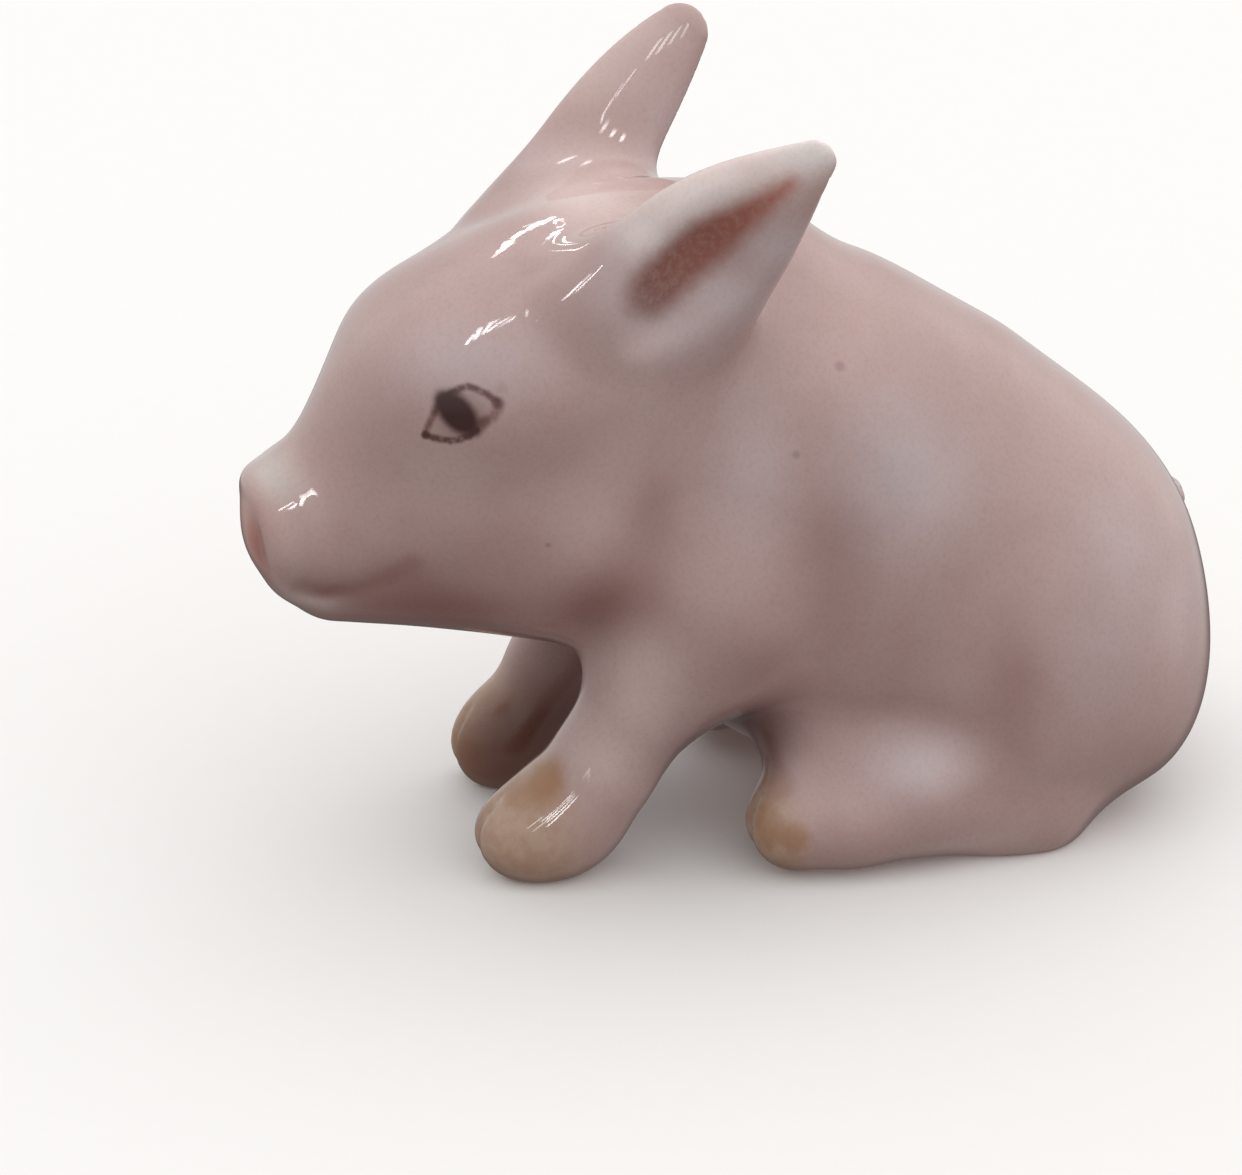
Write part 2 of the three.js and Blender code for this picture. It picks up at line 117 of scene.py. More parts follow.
def line_dist(y, z, pts):
    d = np.full(y.shape, 9.0, F4)
    for (y0, z0), (y1, z1) in zip(pts[:-1], pts[1:]):
        ex, ez = y1 - y0, z1 - z0
        t = np.clip(((y - y0) * ex + (z - z0) * ez) / (ex * ex + ez * ez), 0, 1)
        d = np.minimum(d, np.hypot(y - y0 - t * ex, z - z0 - t * ez))
    return d


HEAD_PIVOT = (0, -4.5, 13.5)
HM = rot_z(math.radians(4.32)) @ rot_y(math.radians(1.39))


def to_head(p):
    return (p - V(*HEAD_PIVOT)) @ HM + V(*HEAD_PIVOT)


EARS = {1: ((3.387, -5.724, 18.939), (6.169, -1.075, 24.979), (2.071, 3.423, 1.868, 0.713), 26.87, 0.27, 0.026),
        -1: ((-3.403, -6.792, 18.544), (-6.038, -1.103, 24.695), (2.306, 1.894, 2.008, 0.978), 4.26, 0.209, 0.223)}
FLAT = 2.5


def ear_frame(side):
    b, t, _, roll, _, _ = EARS[side]
    A = np.array(t, float) - np.array(b, float); L = np.linalg.norm(A); A = A / L
    ref = np.array([0, -1.0, 0]); U = ref - A * (ref @ A); U /= np.linalg.norm(U)
    N = np.cross(U, A)
    if N[0] * side < 0:
        N = -N
    r = math.radians(roll)
    return A, U * math.cos(r) - N * math.sin(r), U * math.sin(r) + N * math.cos(r), L


EF = {s: ear_frame(s) for s in (1, -1)}


def ear_co(q, side):
    A, U, N, L = EF[side]; b, t, rr, _, bu, bn = EARS[side]
    p = q - V(*b)
    a = p @ A.astype(F4); u = p @ U.astype(F4); m = p @ N.astype(F4)
    r0, r1, r2, r3 = rr
    s = np.clip(a / L, 0, 1); e = 4 * s * (1 - s)
    rho = np.sqrt((u - bu * e) ** 2 + (FLAT * (m - bn * e)) ** 2)
    dr = 3 * ((r1 - r0) * (1 - s) ** 2 + 2 * (r2 - r1) * s * (1 - s) + (r3 - r2) * s * s) / L
    s = np.clip((a + np.minimum(rho, 2.5) * dr) / L, 0, 1); e = 4 * s * (1 - s)
    return a, u - bu * e, m - bn * e, s, L


def ear(q, side):
    a, u, m, s, L = ear_co(q, side); r0, r1, r2, r3 = EARS[side][2]
    o = a - s * L
    r = r0 * (1 - s) ** 3 + 3 * r1 * s * (1 - s) ** 2 + 3 * r2 * s * s * (1 - s) + r3 * s ** 3
    f = FLAT
    rho = np.sqrt(u * u + f * f * m * m + o * o + 1e-4)
    g = np.sqrt(u * u + f ** 4 * m * m + o * o + 1e-4) / rho
    d = (rho - r) / g
    qa = (a - L * 0.42) / (L * 0.50); qu = u / 1.75; qn = (m - 1.75) / 1.55
    k0 = np.sqrt(qa * qa + qu * qu + qn * qn)
    k1 = np.sqrt((qa / (L * 0.50)) ** 2 + (qu / 1.75) ** 2 + (qn / 1.55) ** 2)
    return smax(d, -k0 * (k0 - 1) / np.maximum(k1, 1e-6), 0.6)


def torso(p):
    d = ell(p, (0, 8.77, 6.52), (6.3, 5.95, 6.63))
    d = smin(d, ell(p, (0, 3.08, 9.59), (6.0, 9.2, 8.03), -36.23), 2.5)
    d = smin(d, ell(p, (0, -0.15, 13.09), (4.8, 5.04, 6.53), -20), 2.5)
    pa = p.copy(); pa[..., 0] = np.sqrt(p[..., 0] ** 2 + 0.36)
    d = smin(d, ell(pa, (2.4, 10.99, 3.97), (3.4, 2.45, 2.94)), 3.0)
    return smin(d, ell(pa, (3.2, 7.13, 4.42), (3.7, 4.05, 6.53), 4), 1.3)


def neck(p):
    return rcone(p, (0, -0.73, 13.33), (0, -6.0, 14.6), 4.84, 4.1)


def shoulders(p):
    return np.minimum(rcone(p, (2.5, 0.4, 14.9), (3.0, -2.68, 9.47), 2.45, 2.9),
                      rcone(p, (-2.5, 0.4, 14.9), (-3.05, -2.6, 10.6), 2.45, 2.65))


MOUTH = [(-16.75, 11.35), (-16.1, 10.95), (-15.3, 10.72), (-14.4, 10.75), (-13.6, 11.15), (-12.9, 11.8)]


def head(q):
    d = ell(q, (0, -6.63, 16.9), (4.7, 8.59, 4.79), 15.2)
    qa = q.copy(); qa[..., 0] = np.abs(q[..., 0])
    d = smin(d, ell(qa, (2.2, -7.26, 11.78), (2.75, 3.58, 3.68)), 1.8)
    d = smin(d, rcone(q, (0, -10.99, 12.53), (0, -14.85, 12.17), 3.53, 2.61), 2.2)
    d = smin(d, ell(qa, (2.35, -10.3, 17.1), (1.6, 2.2, 1.3)), 2.6)
    d = smin(d, rcone(q, (0, -8.01, 10.88), (0, -14.48, 10.05), 3.41, 1.35), 1.35)
    d = smin(d, disc(q, (0, -16.11, 12.14), (0, -1, -0.25), 2.04, 0.75, 0.45), 0.9)
    d = smin(d, ell(qa, (2.9, -5.6, 19.8), (1.6, 2.6, 1.4)), 1.4)
    m = line_dist(q[..., 1], q[..., 2], MOUTH)
    fade = np.clip((-12.6 - q[..., 1]) / 1.2, 0, 1) * np.clip((q[..., 1] + 17.2) / 0.6, 0, 1)
    d = d + 0.08 * bell(m, 0.50) * fade
    nn = ((qa[..., 0] - 1.0) / 0.42) ** 2 + ((q[..., 1] + 16.95) / 0.7) ** 2 + ((q[..., 2] - 12.2) / 0.76) ** 2
    return d + 0.15 * np.exp(-nn)


def foreleg(p, s):
    if s > 0:
        d = rcone(p, (3.2, -2.68, 9.47), (3.45, -6.76, 3.17), 2.99, 1.32)
        d = smin(d, rcone(p, (3.45, -6.76, 3.17), (3.25, -7.39, 2.23), 1.32, 1.61), 1.8)
        h, r = (3.2, -8.48, 1.40), (1.75, 2.15, 1.72)
    else:
        d = rcone(p, (-3.2, -2.6, 10.6), (-3.45, -6.03, 4.16), 2.65, 1.42)
        d = smin(d, rcone(p, (-3.45, -6.03, 4.16), (-3.25, -7.57, 2.29), 1.42, 1.37), 1.8)
        h, r = (-3.2, -8.21, 1.36), (1.6, 1.83, 1.68)
    d = smin(d, ell(p, h, r), 1.2)
    w = np.clip((h[1] - 0.2 - p[..., 1]) / 1.0, 0, 1) * np.clip((3.0 - p[..., 2]) / 0.8, 0, 1)
    return d + 0.22 * bell(p[..., 0] - h[0], 0.22) * w


def hind(p, s):
    q = p * V(s, 1, 1)
    d = rcone(q, (5.0, -0.35, 1.69), (5.3, 1.53, 1.74), 1.67, 1.42)
    d = smin(d, rcone(q, (5.3, 1.53, 1.74), (5.2, 7.74, 1.08), 1.42, 1.2), 1.2)
    d = smin(d, ell(q, (5.1, 3.8, 2.45), (2.0, 2.4, 1.95)), 0.9)
    d = smin(d, rcone(q, (4.6, 3.8, 2.9), (3.7, 0.39, 3.73), 1.5, 1.49), 1.2)
    w = np.clip((-0.7 - q[..., 1]) / 1.0, 0, 1) * np.clip((3.0 - q[..., 2]) / 0.8, 0, 1)
    return d + 0.20 * bell(q[..., 0] - 5.0, 0.22) * w


TAIL = [(-1.15, 14.20, 8.75, 0.58), (-1.75, 14.32, 8.65, 0.55), (-2.5, 14.26, 8.2, 0.51), (-2.85, 14.35, 7.4, 0.46),
        (-2.5, 14.59, 6.7, 0.42), (-1.85, 14.76, 6.7, 0.38), (-1.6, 14.77, 7.25, 0.33), (-1.85, 14.68, 7.55, 0.26)]


def tail(p):
    d = None
    for a, b in zip(TAIL[:-1], TAIL[1:]):
        e = rcone(p, a[:3], b[:3], a[3], b[3])
        d = e if d is None else smin(d, e, 0.25)
    return d


VENT_R, VENT_Y, VENT_DEPTH = 1.2, 6.6, 4.2


def body(p):
    p = np.asarray(p, F4)
    q = to_head(p)
    d = smin(torso(p), neck(p), 2.2)
    d = smin(d, shoulders(p), 2.4)
    h = smin(head(q), np.minimum(ear(q, 1), ear(q, -1)), 2.0)
    d = smin(d, h, 1.3)
    d = smin(smin(d, foreleg(p, 1), 2.0), foreleg(p, -1), 2.0)
    d = smin(smin(d, hind(p, 1), 1.3), hind(p, -1), 1.3)
    d = smin(d, tail(p), 0.35)
    d = smax(d, -p[..., 2], 0.16)
    vent = disc(p, (0, VENT_Y, 0), (0, 0, 1), VENT_R, VENT_DEPTH, 0.2)
    return smax(d, -vent, 0.2)


def slope(p, e=0.03):
    """Value and gradient of the field, from four samples."""
    k = np.array([[1, -1, -1], [-1, -1, 1], [-1, 1, -1], [1, 1, 1]], F4)
    v = np.stack([body(p + e * c) for c in k], 1)
    return v.mean(1), (v @ k) / (4 * e)


# ------------------------------------------------------------------ seams
def unit(a):
    a = np.array(a, float)
    return a / np.linalg.norm(a)


def box_dist(p, o, X, Y, Z, lo, hi):
    q = p - np.array(o, F4)
    v = np.stack([q @ np.array(X, F4), q @ np.array(Y, F4), q @ np.array(Z, F4)], -1)
    return np.maximum(np.array(lo, F4) - v, v - np.array(hi, F4)).max(-1)


def plane_box(at, direction, x, y, depth):
    Z = unit(direction); X = unit(np.cross([0, 1, 0], Z)); Y = np.cross(Z, X)
    return dict(o=at, X=X, Y=Y, Z=Z, lo=[x[0], y[0], 0], hi=[x[1], y[1], depth])


HIND_T = unit([0, 1, -0.22]); HIND_N = np.array([0, -HIND_T[2], HIND_T[1]])
BLOCKS = {
    "head": plane_box([0, -5.2, 15.0], [0, -0.958, 0.287], (-14, 14), (-14, 14), 24),
    "left_foreleg": plane_box([3.3, -4.7, 6.3], [0, -0.42, -0.907], (-2.8, 2.8), (-4.6, 2.8), 12),
    "right_foreleg": plane_box([-3.3, -4.6, 6.4], [0, -0.42, -0.907], (-2.8, 2.8), (-4.6, 2.8), 12),
    "left_hind_leg": dict(o=[3.0, 3.0, 4.75], X=[1, 0, 0], Y=HIND_T, Z=HIND_N, lo=[0, -5.6, -9], hi=[8, 6.0, 0]),
    "right_hind_leg": dict(o=[-3.0, 3.0, 4.75], X=[-1, 0, 0], Y=HIND_T, Z=HIND_N, lo=[0, -5.6, -9], hi=[8, 6.0, 0]),
}
SEAMS = {
    "left_ear": lambda p: ear(to_head(p), 1) - 0.3,
    "right_ear": lambda p: ear(to_head(p), -1) - 0.3,
    "tail": lambda p: tail(p) - 0.08,
    "left_foreleg": lambda p: np.maximum(box_dist(p, **BLOCKS["left_foreleg"]), foreleg(p, 1) - 0.5),
    "right_foreleg": lambda p: np.maximum(box_dist(p, **BLOCKS["right_foreleg"]), foreleg(p, -1) - 0.5),
    "left_hind_leg": lambda p: np.maximum(box_dist(p, **BLOCKS["left_hind_leg"]), hind(p, 1) - 0.8),
    "right_hind_leg": lambda p: np.maximum(box_dist(p, **BLOCKS["right_hind_leg"]), hind(p, -1) - 0.8),
    "head": lambda p: box_dist(p, **BLOCKS["head"]),
}
PIECES = list(SEAMS) + ["torso"]


# ------------------------------------------------------------------ meshing
def sample_grid(lo, hi, h):
    """The field on a grid, worked out only near the surface."""
    s = 4
    n = (np.ceil((hi - lo) / (h * s)).astype(int)) * s
    cn = n // s
    ax = [lo[i] + h * s * np.arange(cn[i] + 1) for i in range(3)]
    C = np.stack(np.meshgrid(*ax, indexing="ij"), -1).astype(F4)
    D = body(C.reshape(-1, 3)).reshape(C.shape[:3])
    near = np.abs(D) < h * s * 1.9
    cell = np.zeros(cn, bool)
    for i in (0, 1):
        for j in (0, 1):
            for k in (0, 1):
                cell |= near[i:i + cn[0], j:j + cn[1], k:k + cn[2]]
    fine = cell.repeat(s, 0).repeat(s, 1).repeat(s, 2)
    full = np.zeros(n + 1, bool)
    for i in (0, 1):
        for j in (0, 1):
            for k in (0, 1):
                full[i:i + n[0], j:j + n[1], k:k + n[2]] |= fine
    out = D[:-1, :-1, :-1].repeat(s, 0).repeat(s, 1).repeat(s, 2)
    G = np.full(n + 1, 9.0, F4)
    G[:-1, :-1, :-1] = np.where(out < 0, -9.0, 9.0)
    idx = np.argwhere(full)
    val = np.empty(len(idx), F4)
    for a in range(0, len(idx), 120000):
        val[a:a + 120000] = body((lo + h * idx[a:a + 120000]).astype(F4))
    G[full] = val
    return G


def surface_nets(G, lo, h):
    S = G < 0
    n = np.array(G.shape)
    cells, pts = [], []
    for a in range(3):
        b, c = (a + 1) % 3, (a + 2) % 3
        s0 = [slice(None)] * 3; s1 = [slice(None)] * 3
        s0[a] = slice(0, -1); s1[a] = slice(1, None)
        m = S[tuple(s0)] != S[tuple(s1)]
        idx = np.argwhere(m)
        d0 = G[tuple(s0)][m]; d1 = G[tuple(s1)][m]
        pos = idx.astype(float); pos[:, a] += d0 / (d0 - d1)
        quad = []
        for ob, oc in ((1, 1), (0, 1), (0, 0), (1, 0)):
            k = idx.copy(); k[:, b] -= ob; k[:, c] -= oc
            quad.append((k[:, 0] * n[1] + k[:, 1]) * n[2] + k[:, 2])
        q = np.stack(quad, 1)
        q[d0 >= 0] = q[d0 >= 0][:, ::-1]
        cells.append(q); pts.append(pos)
    Q = np.concatenate(cells); P = np.concatenate(pts)
    ids, inv = np.unique(Q.ravel(), return_inverse=True)
    inv = inv.reshape(Q.shape)
    cnt = np.bincount(inv.ravel(), minlength=len(ids)).astype(float)
    vert = np.stack([np.bincount(inv.ravel(), np.repeat(P[:, i], 4), len(ids)) / cnt for i in range(3)], 1)
    return lo + h * vert, inv


def settle(v, rounds=2, limit=0.3):
    for _ in range(rounds):
        d, g = slope(v.astype(F4))
        m = -d / np.maximum((g * g).sum(1), 0.2)
        v = v + np.clip(m, -limit, limit)[:, None] * g
    return v


def relax(v, q, weight=0.5):
    """One round of smoothing along the surface."""
    e = np.concatenate([q[:, [0, 1]], q[:, [1, 2]], q[:, [2, 3]], q[:, [3, 0]]])
    e = np.unique(np.sort(e, 1), axis=0)
    i = np.concatenate([e[:, 0], e[:, 1]]); j = np.concatenate([e[:, 1], e[:, 0]])
    cnt = np.bincount(i, minlength=len(v))
    avg = np.stack([np.bincount(i, v[j, k], len(v)) for k in range(3)], 1) / cnt[:, None]
    return v + weight * (avg - v)


def build_surface():
    lo = np.array([-7.6, -18.0, -0.42]); hi = np.array([7.6, 15.8, 26.2])
    G = sample_grid(lo, hi, CELL)
    v, q = surface_nets(G, lo, CELL)
    v = settle(v, 2)
    for _ in range(3):
        v = settle(relax(v, q), 1)
    # each face belongs to the first piece whose seam it is inside
    mid = v[q].mean(1).astype(F4)
    label = np.full(len(q), len(PIECES) - 1)
    for i in range(len(SEAMS) - 1, -1, -1):
        label[SEAMS[PIECES[i]](mid) < 0] = i
    # vertices on a seam move along the surface onto the seam itself
    first = np.full(len(v), 99); last = np.full(len(v), -1)
    np.minimum.at(first, q.ravel(), np.repeat(label, 4))
    np.maximum.at(last, q.ravel(), np.repeat(label, 4))
    for i in range(len(SEAMS)):
        k = np.where((first == i) & (last > i))[0]
        if not len(k):
            continue
        w = v[k].copy(); seam = SEAMS[PIECES[i]]; e = 0.02
        for _ in range(4):
            s = seam(w.astype(F4))
            g = np.stack([seam((w + e * c).astype(F4)) - seam((w - e * c).astype(F4)) for c in np.eye(3)], 1) / (2 * e)
            _, n = slope(w.astype(F4)); n = n / np.linalg.norm(n, axis=1, keepdims=True)
            g = g - (g * n).sum(1, keepdims=True) * n
            l = np.maximum((g * g).sum(1), 0.25)
            w = w - np.clip(s / l, -0.1, 0.1)[:, None] * g
        far = np.linalg.norm(w - v[k], axis=1) > CELL * 0.85
        w[far] = v[k][far]
        v[k] = w
    v = settle(v, 2)
    _, g = slope(v.astype(F4))
    return v, q, label, g / np.linalg.norm(g, axis=1, keepdims=True)



VERTS, QUADS, LABEL, NORMALS = build_surface()


# ------------------------------------------------------------------ sprayed colour, painted shade and painted light
def srgb(r, g, b):
    """Linear colour from 0..255 display values."""
    c = np.array([r, g, b], float) / 255
    return np.where(c <= 0.04045, c / 12.92, ((c + 0.055) / 1.055) ** 2.4)


BASE = srgb(184, 156, 152)

# Strokes of colour, many of them painted shade and painted light: frame (b body, h head), centre, radii, colour,
# strength.
# A stroke is sprayed on both sides of the figurine, one with frame H on one side only.
SHADE = srgb(126, 80, 75)        # brown-pink in the folds
RED_SHADE = srgb(126, 70, 65)        # redder painted shade under the head, partly the glaze's own brown-pink
BLUSH = srgb(222, 172, 160)      # snout
PALE = srgb(212, 190, 186)       # paler pink: painted light where the near side lies dim, and a paler tone elsewhere
# near white, painted light on the lip and on the near ear
LIT_WHITE = srgb(240, 224, 220)
WHITE = srgb(206, 196, 200)      # bluish white: painted light on lit tops, a painted highlight on the knee, and the pale bands round the ear's wash
COOL = srgb(184, 178, 186)
STROKES = [
    # frame, centre (mm), radii (mm), colour, strength
    ("h", (2.8, -12.3, 9.8), (2.4, 3.9, 1.5), RED_SHADE, 0.74),       # painted shade under the jaw
    ("h", (2.0, -15.1, 10.3), (1.1, 1.2, 0.7), RED_SHADE, 0.42),      # painted shade below the lip
    ("h", (3.3, -13.2, 11.2), (1.0, 1.2, 0.8), RED_SHADE, 0.30),      # painted shade at the corner of the mouth
    ("h", (4.4, -9.9, 12.2), (1.6, 2.4, 1.6), SHADE, 0.22),       # low cheek
    ("b", (4.6, -6.7, 9.9), (2.0, 2.1, 1.6), SHADE, 0.86),        # throat
    ("b", (4.9, -5.2, 13.0), (1.6, 1.0, 2.2), SHADE, 0.42),       # neck fold
    ("b", (6.2, 0.3, 11.4), (1.8, 1.5, 3.2), SHADE, 0.31),        # behind the shoulder
    ("b", (6.4, -2.0, 7.8), (1.6, 1.5, 2.0), SHADE, 0.22),
    ("b", (5.8, 3.0, 8.8), (2.2, 3.0, 2.6), SHADE, 0.06),         # flank
    ("b", (3.6, -3.0, 4.8), (2.2, 3.0, 1.8), srgb(92, 50, 46), 0.88),        # painted shade between the legs
    ("b", (3.6, -2.2, 4.7), (1.7, 2.0, 1.0), srgb(80, 30, 26), 0.62),
    # painted shade on the throat
    ("b", (5.0, -6.2, 10.2), (1.6, 1.5, 1.5), RED_SHADE, 0.16),
    ("b", (1.6, -7.4, 4.4), (1.5, 2.2, 2.8), SHADE, 0.24),
    ("b", (6.6, 6.3, 6.4), (1.6, 1.2, 3.2), SHADE, 0.34),         # haunch fold
    ("b", (6.8, 7.8, 2.8), (1.5, 3.0, 2.0), SHADE, 0.05),
    ("h", (0.0, -17.2, 12.3), (2.2, 0.6, 1.8), BLUSH, 0.62),      # nose disc
    # painted highlight along the top edge of the nose disc
    ("h", (0.5, -16.6, 14.2), (1.8, 0.8, 0.7), srgb(205, 204, 199), 0.62),
    ("h", (1.8, -16.0, 10.15), (1.5, 1.3, 0.65), LIT_WHITE, 0.62),     # painted pale rim light along the lip
    ("h", (2.0, -15.4, 10.6), (0.6, 0.8, 0.38), RED_SHADE, 0.56),     # painted shadow under its edge
    ("h", (2.1, -16.8, 12.0), (0.8, 0.8, 1.1), PALE, 0.36),      # edge of the nose disc
    ("h", (3.5, -11.2, 18.6), (1.8, 2.4, 1.2), COOL, 0.42),       # brow
    # painted light below the eye
    ("h", (4.0, -12.0, 14.9), (1.4, 1.8, 1.6), PALE, 0.42),
    ("b", (5.5, -2.2, 14.6), (1.6, 1.3, 2.6), WHITE, 0.34),       # painted light on the shoulder's top
    ("b", (5.4, -5.6, 7.4), (1.6, 1.6, 2.4), PALE, 0.85),         # painted light on the foreleg
    ("b", (5.0, -6.8, 4.6), (1.6, 1.5, 1.8), PALE, 0.50),
    ("b", (5.6, 2.8, 13.9), (1.6, 2.3, 2.5), WHITE, 0.66),        # painted light high on the side
    ("b", (5.0, 10.2, 10.4), (1.8, 1.7, 2.2), WHITE, 0.34),       # painted light high on the haunch
    ("b", (4.9, 12.6, 7.4), (1.7, 1.5, 2.2), WHITE, 0.24),        # painted light on the rump
    ("b", (6.5, 9.3, 7.2), (1.5, 1.8, 2.4), COOL, 0.22),          # thigh
    ("b", (4.9, -5.6, 16.2), (1.4, 1.6, 1.9), PALE, 0.42),        # painted light behind the cheek
    ("b", (5.0, -7.4, 13.4), (1.2, 1.9, 1.6), PALE, 0.24),        # painted light on the cheek
    ("b", (6.5, 3.2, 3.9), (1.3, 1.6, 1.0), WHITE, 0.62),         # painted highlight on the knee
    ("b", (6.3, 3.0, 5.5), (1.3, 2.6, 0.8), SHADE, 0.20),         # above the knee
    ("b", (6.6, 4.8, 0.8), (1.2, 2.6, 0.7), PALE, 0.45),
    ("H", (-3.9, -7.3, 21.0), (1.3, 1.3, 1.1), srgb(160, 128, 123), 0.50),   # outer root of the far ear
    ("H", (-5.4, -4.2, 23.9), (1.7, 2.2, 1.6), PALE, 0.58),
    ("H", (-5.9, -2.5, 25.0), (1.5, 1.8, 1.1), PALE, 0.56),
    # pale bluish white round the ear's wash below; above it, painted highlight along the near ear's rim and tip
    ("h", (5.0, -5.0, 19.4), (1.5, 1.5, 1.0), WHITE, 0.54),
    ("h", (5.3, -3.3, 20.5), (1.5, 1.5, 1.1), WHITE, 0.62),
    ("h", (5.8, -1.8, 22.2), (1.4, 1.4, 1.2), WHITE, 0.58),
    ("h", (4.6, -6.4, 20.9), (1.5, 1.2, 1.4), WHITE, 0.34),
    ("H", (5.2, -5.0, 23.4), (1.6, 1.6, 1.0), LIT_WHITE, 0.80),
    ("H", (5.7, -3.6, 24.4), (1.6, 1.7, 1.0), LIT_WHITE, 0.90),
    ("H", (6.1, -2.2, 25.1), (1.6, 1.5, 0.9), LIT_WHITE, 0.84),
    ("H", (6.4, -1.1, 25.3), (1.2, 1.1, 0.7), srgb(250, 245, 243), 0.92),
    ("H", (4.7, -5.8, 22.5), (1.1, 1.3, 0.8), srgb(248, 240, 238), 0.72),
    ("H", (5.3, -4.3, 23.9), (1.1, 1.3, 0.8), srgb(248, 240, 238), 0.62),
    ("H", (4.7, -6.0, 19.1), (1.2, 1.2, 1.0), LIT_WHITE, 0.26),
    ("H", (-0.5, -6.1, 21.8), (2.7, 1.8, 1.1), srgb(244, 224, 220), 0.60),     # paler crown between the ears, partly painted light
    ("H", (-1.9, -3.9, 21.7), (1.5, 1.2, 1.0), srgb(244, 220, 215), 0.50),
]


def spray(v):
    """Linear colour at every vertex."""
    p = v.astype(F4)
    q = to_head(p)
    pb = p.copy(); pb[:, 0] = np.abs(pb[:, 0])
    qh = q.copy(); qh[:, 0] = np.abs(qh[:, 0])
    col = np.repeat(BASE[None], len(v), 0)
    for fr, c, r, tint, k in STROKES:
        s = {"b": pb, "h": qh, "H": q}[fr] - V(*c)
        w = k * np.exp(-((s / V(*r)) ** 2).sum(1) * 1.2)
        col = col * (1 - w[:, None]) + w[:, None] * tint
    return col


# ------------------------------------------------------------------ pieces
def chain(edges):
    """Closed loops from directed edges."""
    nxt = {}
    for a, b in edges:
        nxt.setdefault(a, []).append(b)
    loops = []
    while nxt:
        start = next(iter(nxt)); loop = [start]; cur = start
        while True:
            out = nxt.get(cur)
            if not out:
                break
            n = out.pop()
            if not out:
                del nxt[cur]
            if n == start:
                break
            loop.append(n); cur = n
        if len(loop) > 2:
            loops.append(loop)
    return loops


def make_piece(name, k):
    faces = QUADS[LABEL == k]
    used = np.unique(faces)
    remap = np.full(len(VERTS), -1); remap[used] = np.arange(len(used))
    f = remap[faces]
    verts = list(VERTS[used]); normals = NORMALS[used]
    polys = [tuple(x) for x in f.tolist()]
    shell = len(polys)
    # the open edges run along a seam; each loop is closed by a bowl of quads behind it
    e = np.concatenate([f[:, [0, 1]], f[:, [1, 2]], f[:, [2, 3]], f[:, [3, 0]]])
    have = set(map(tuple, e.tolist()))
    rim = [(b, a) for a, b in have if (b, a) not in have]
    for loop in chain(rim):
        ring = loop
        pts = np.array([verts[i] for i in loop])
        nrm = normals[loop]
        mid = pts.mean(0) - nrm.mean(0) * 0.4
        last = ring
        for t in (0.12, 0.4, 0.7, 0.92):
            w = pts + (mid - pts) * t - nrm * (0.25 * min(1, t * 8) * (1 - t))
            for _ in range(int(2 + 14 * t)):
                w = 0.5 * w + 0.25 * (np.roll(w, 1, 0) + np.roll(w, -1, 0))
            new = list(range(len(verts), len(verts) + len(loop)))
            verts.extend(list(w))
            n = len(loop)
            for i in range(n):
                polys.append((last[i], last[(i + 1) % n], new[(i + 1) % n], new[i]))
            last = new
        c = len(verts); verts.append(mid)
        n = len(loop)
        for i in range(n):
            polys.append((last[i], last[(i + 1) % n], c))
    mesh = bpy.data.meshes.new(name)
    P = (np.array(verts) + SHIFT) / 1000
    mesh.from_pydata(P.tolist(), [], polys)
    mesh.update()
    mesh.polygons.foreach_set("use_smooth", [True] * len(mesh.polygons))
    nv = np.zeros((len(verts), 3)); nv[:len(used)] = normals
    loops_v = np.zeros(len(mesh.loops), int); mesh.loops.foreach_get("vertex_index", loops_v)
    starts = np.zeros(len(mesh.polygons), int); mesh.polygons.foreach_get("loop_total", starts)
    face_of = np.repeat(np.arange(len(mesh.polygons)), starts)
    fn = np.zeros(len(mesh.polygons) * 3); mesh.polygons.foreach_get("normal", fn); fn = fn.reshape(-1, 3)
    ln = np.where((face_of < shell)[:, None], nv[loops_v], fn[face_of])
    mesh.normals_split_custom_set(ln.tolist())
    col = np.ones((len(verts), 4)); col[:, :3] = BASE
    col[:len(used), :3] = spray(VERTS[used])
    a = mesh.color_attributes.new("airbrush_and_painted_light", "FLOAT_COLOR", "POINT")
    a.data.foreach_set("color", col.ravel())
    obj = bpy.data.objects.new(name + "_glazed", mesh)
    bpy.context.scene.collection.objects.link(obj)
    return obj


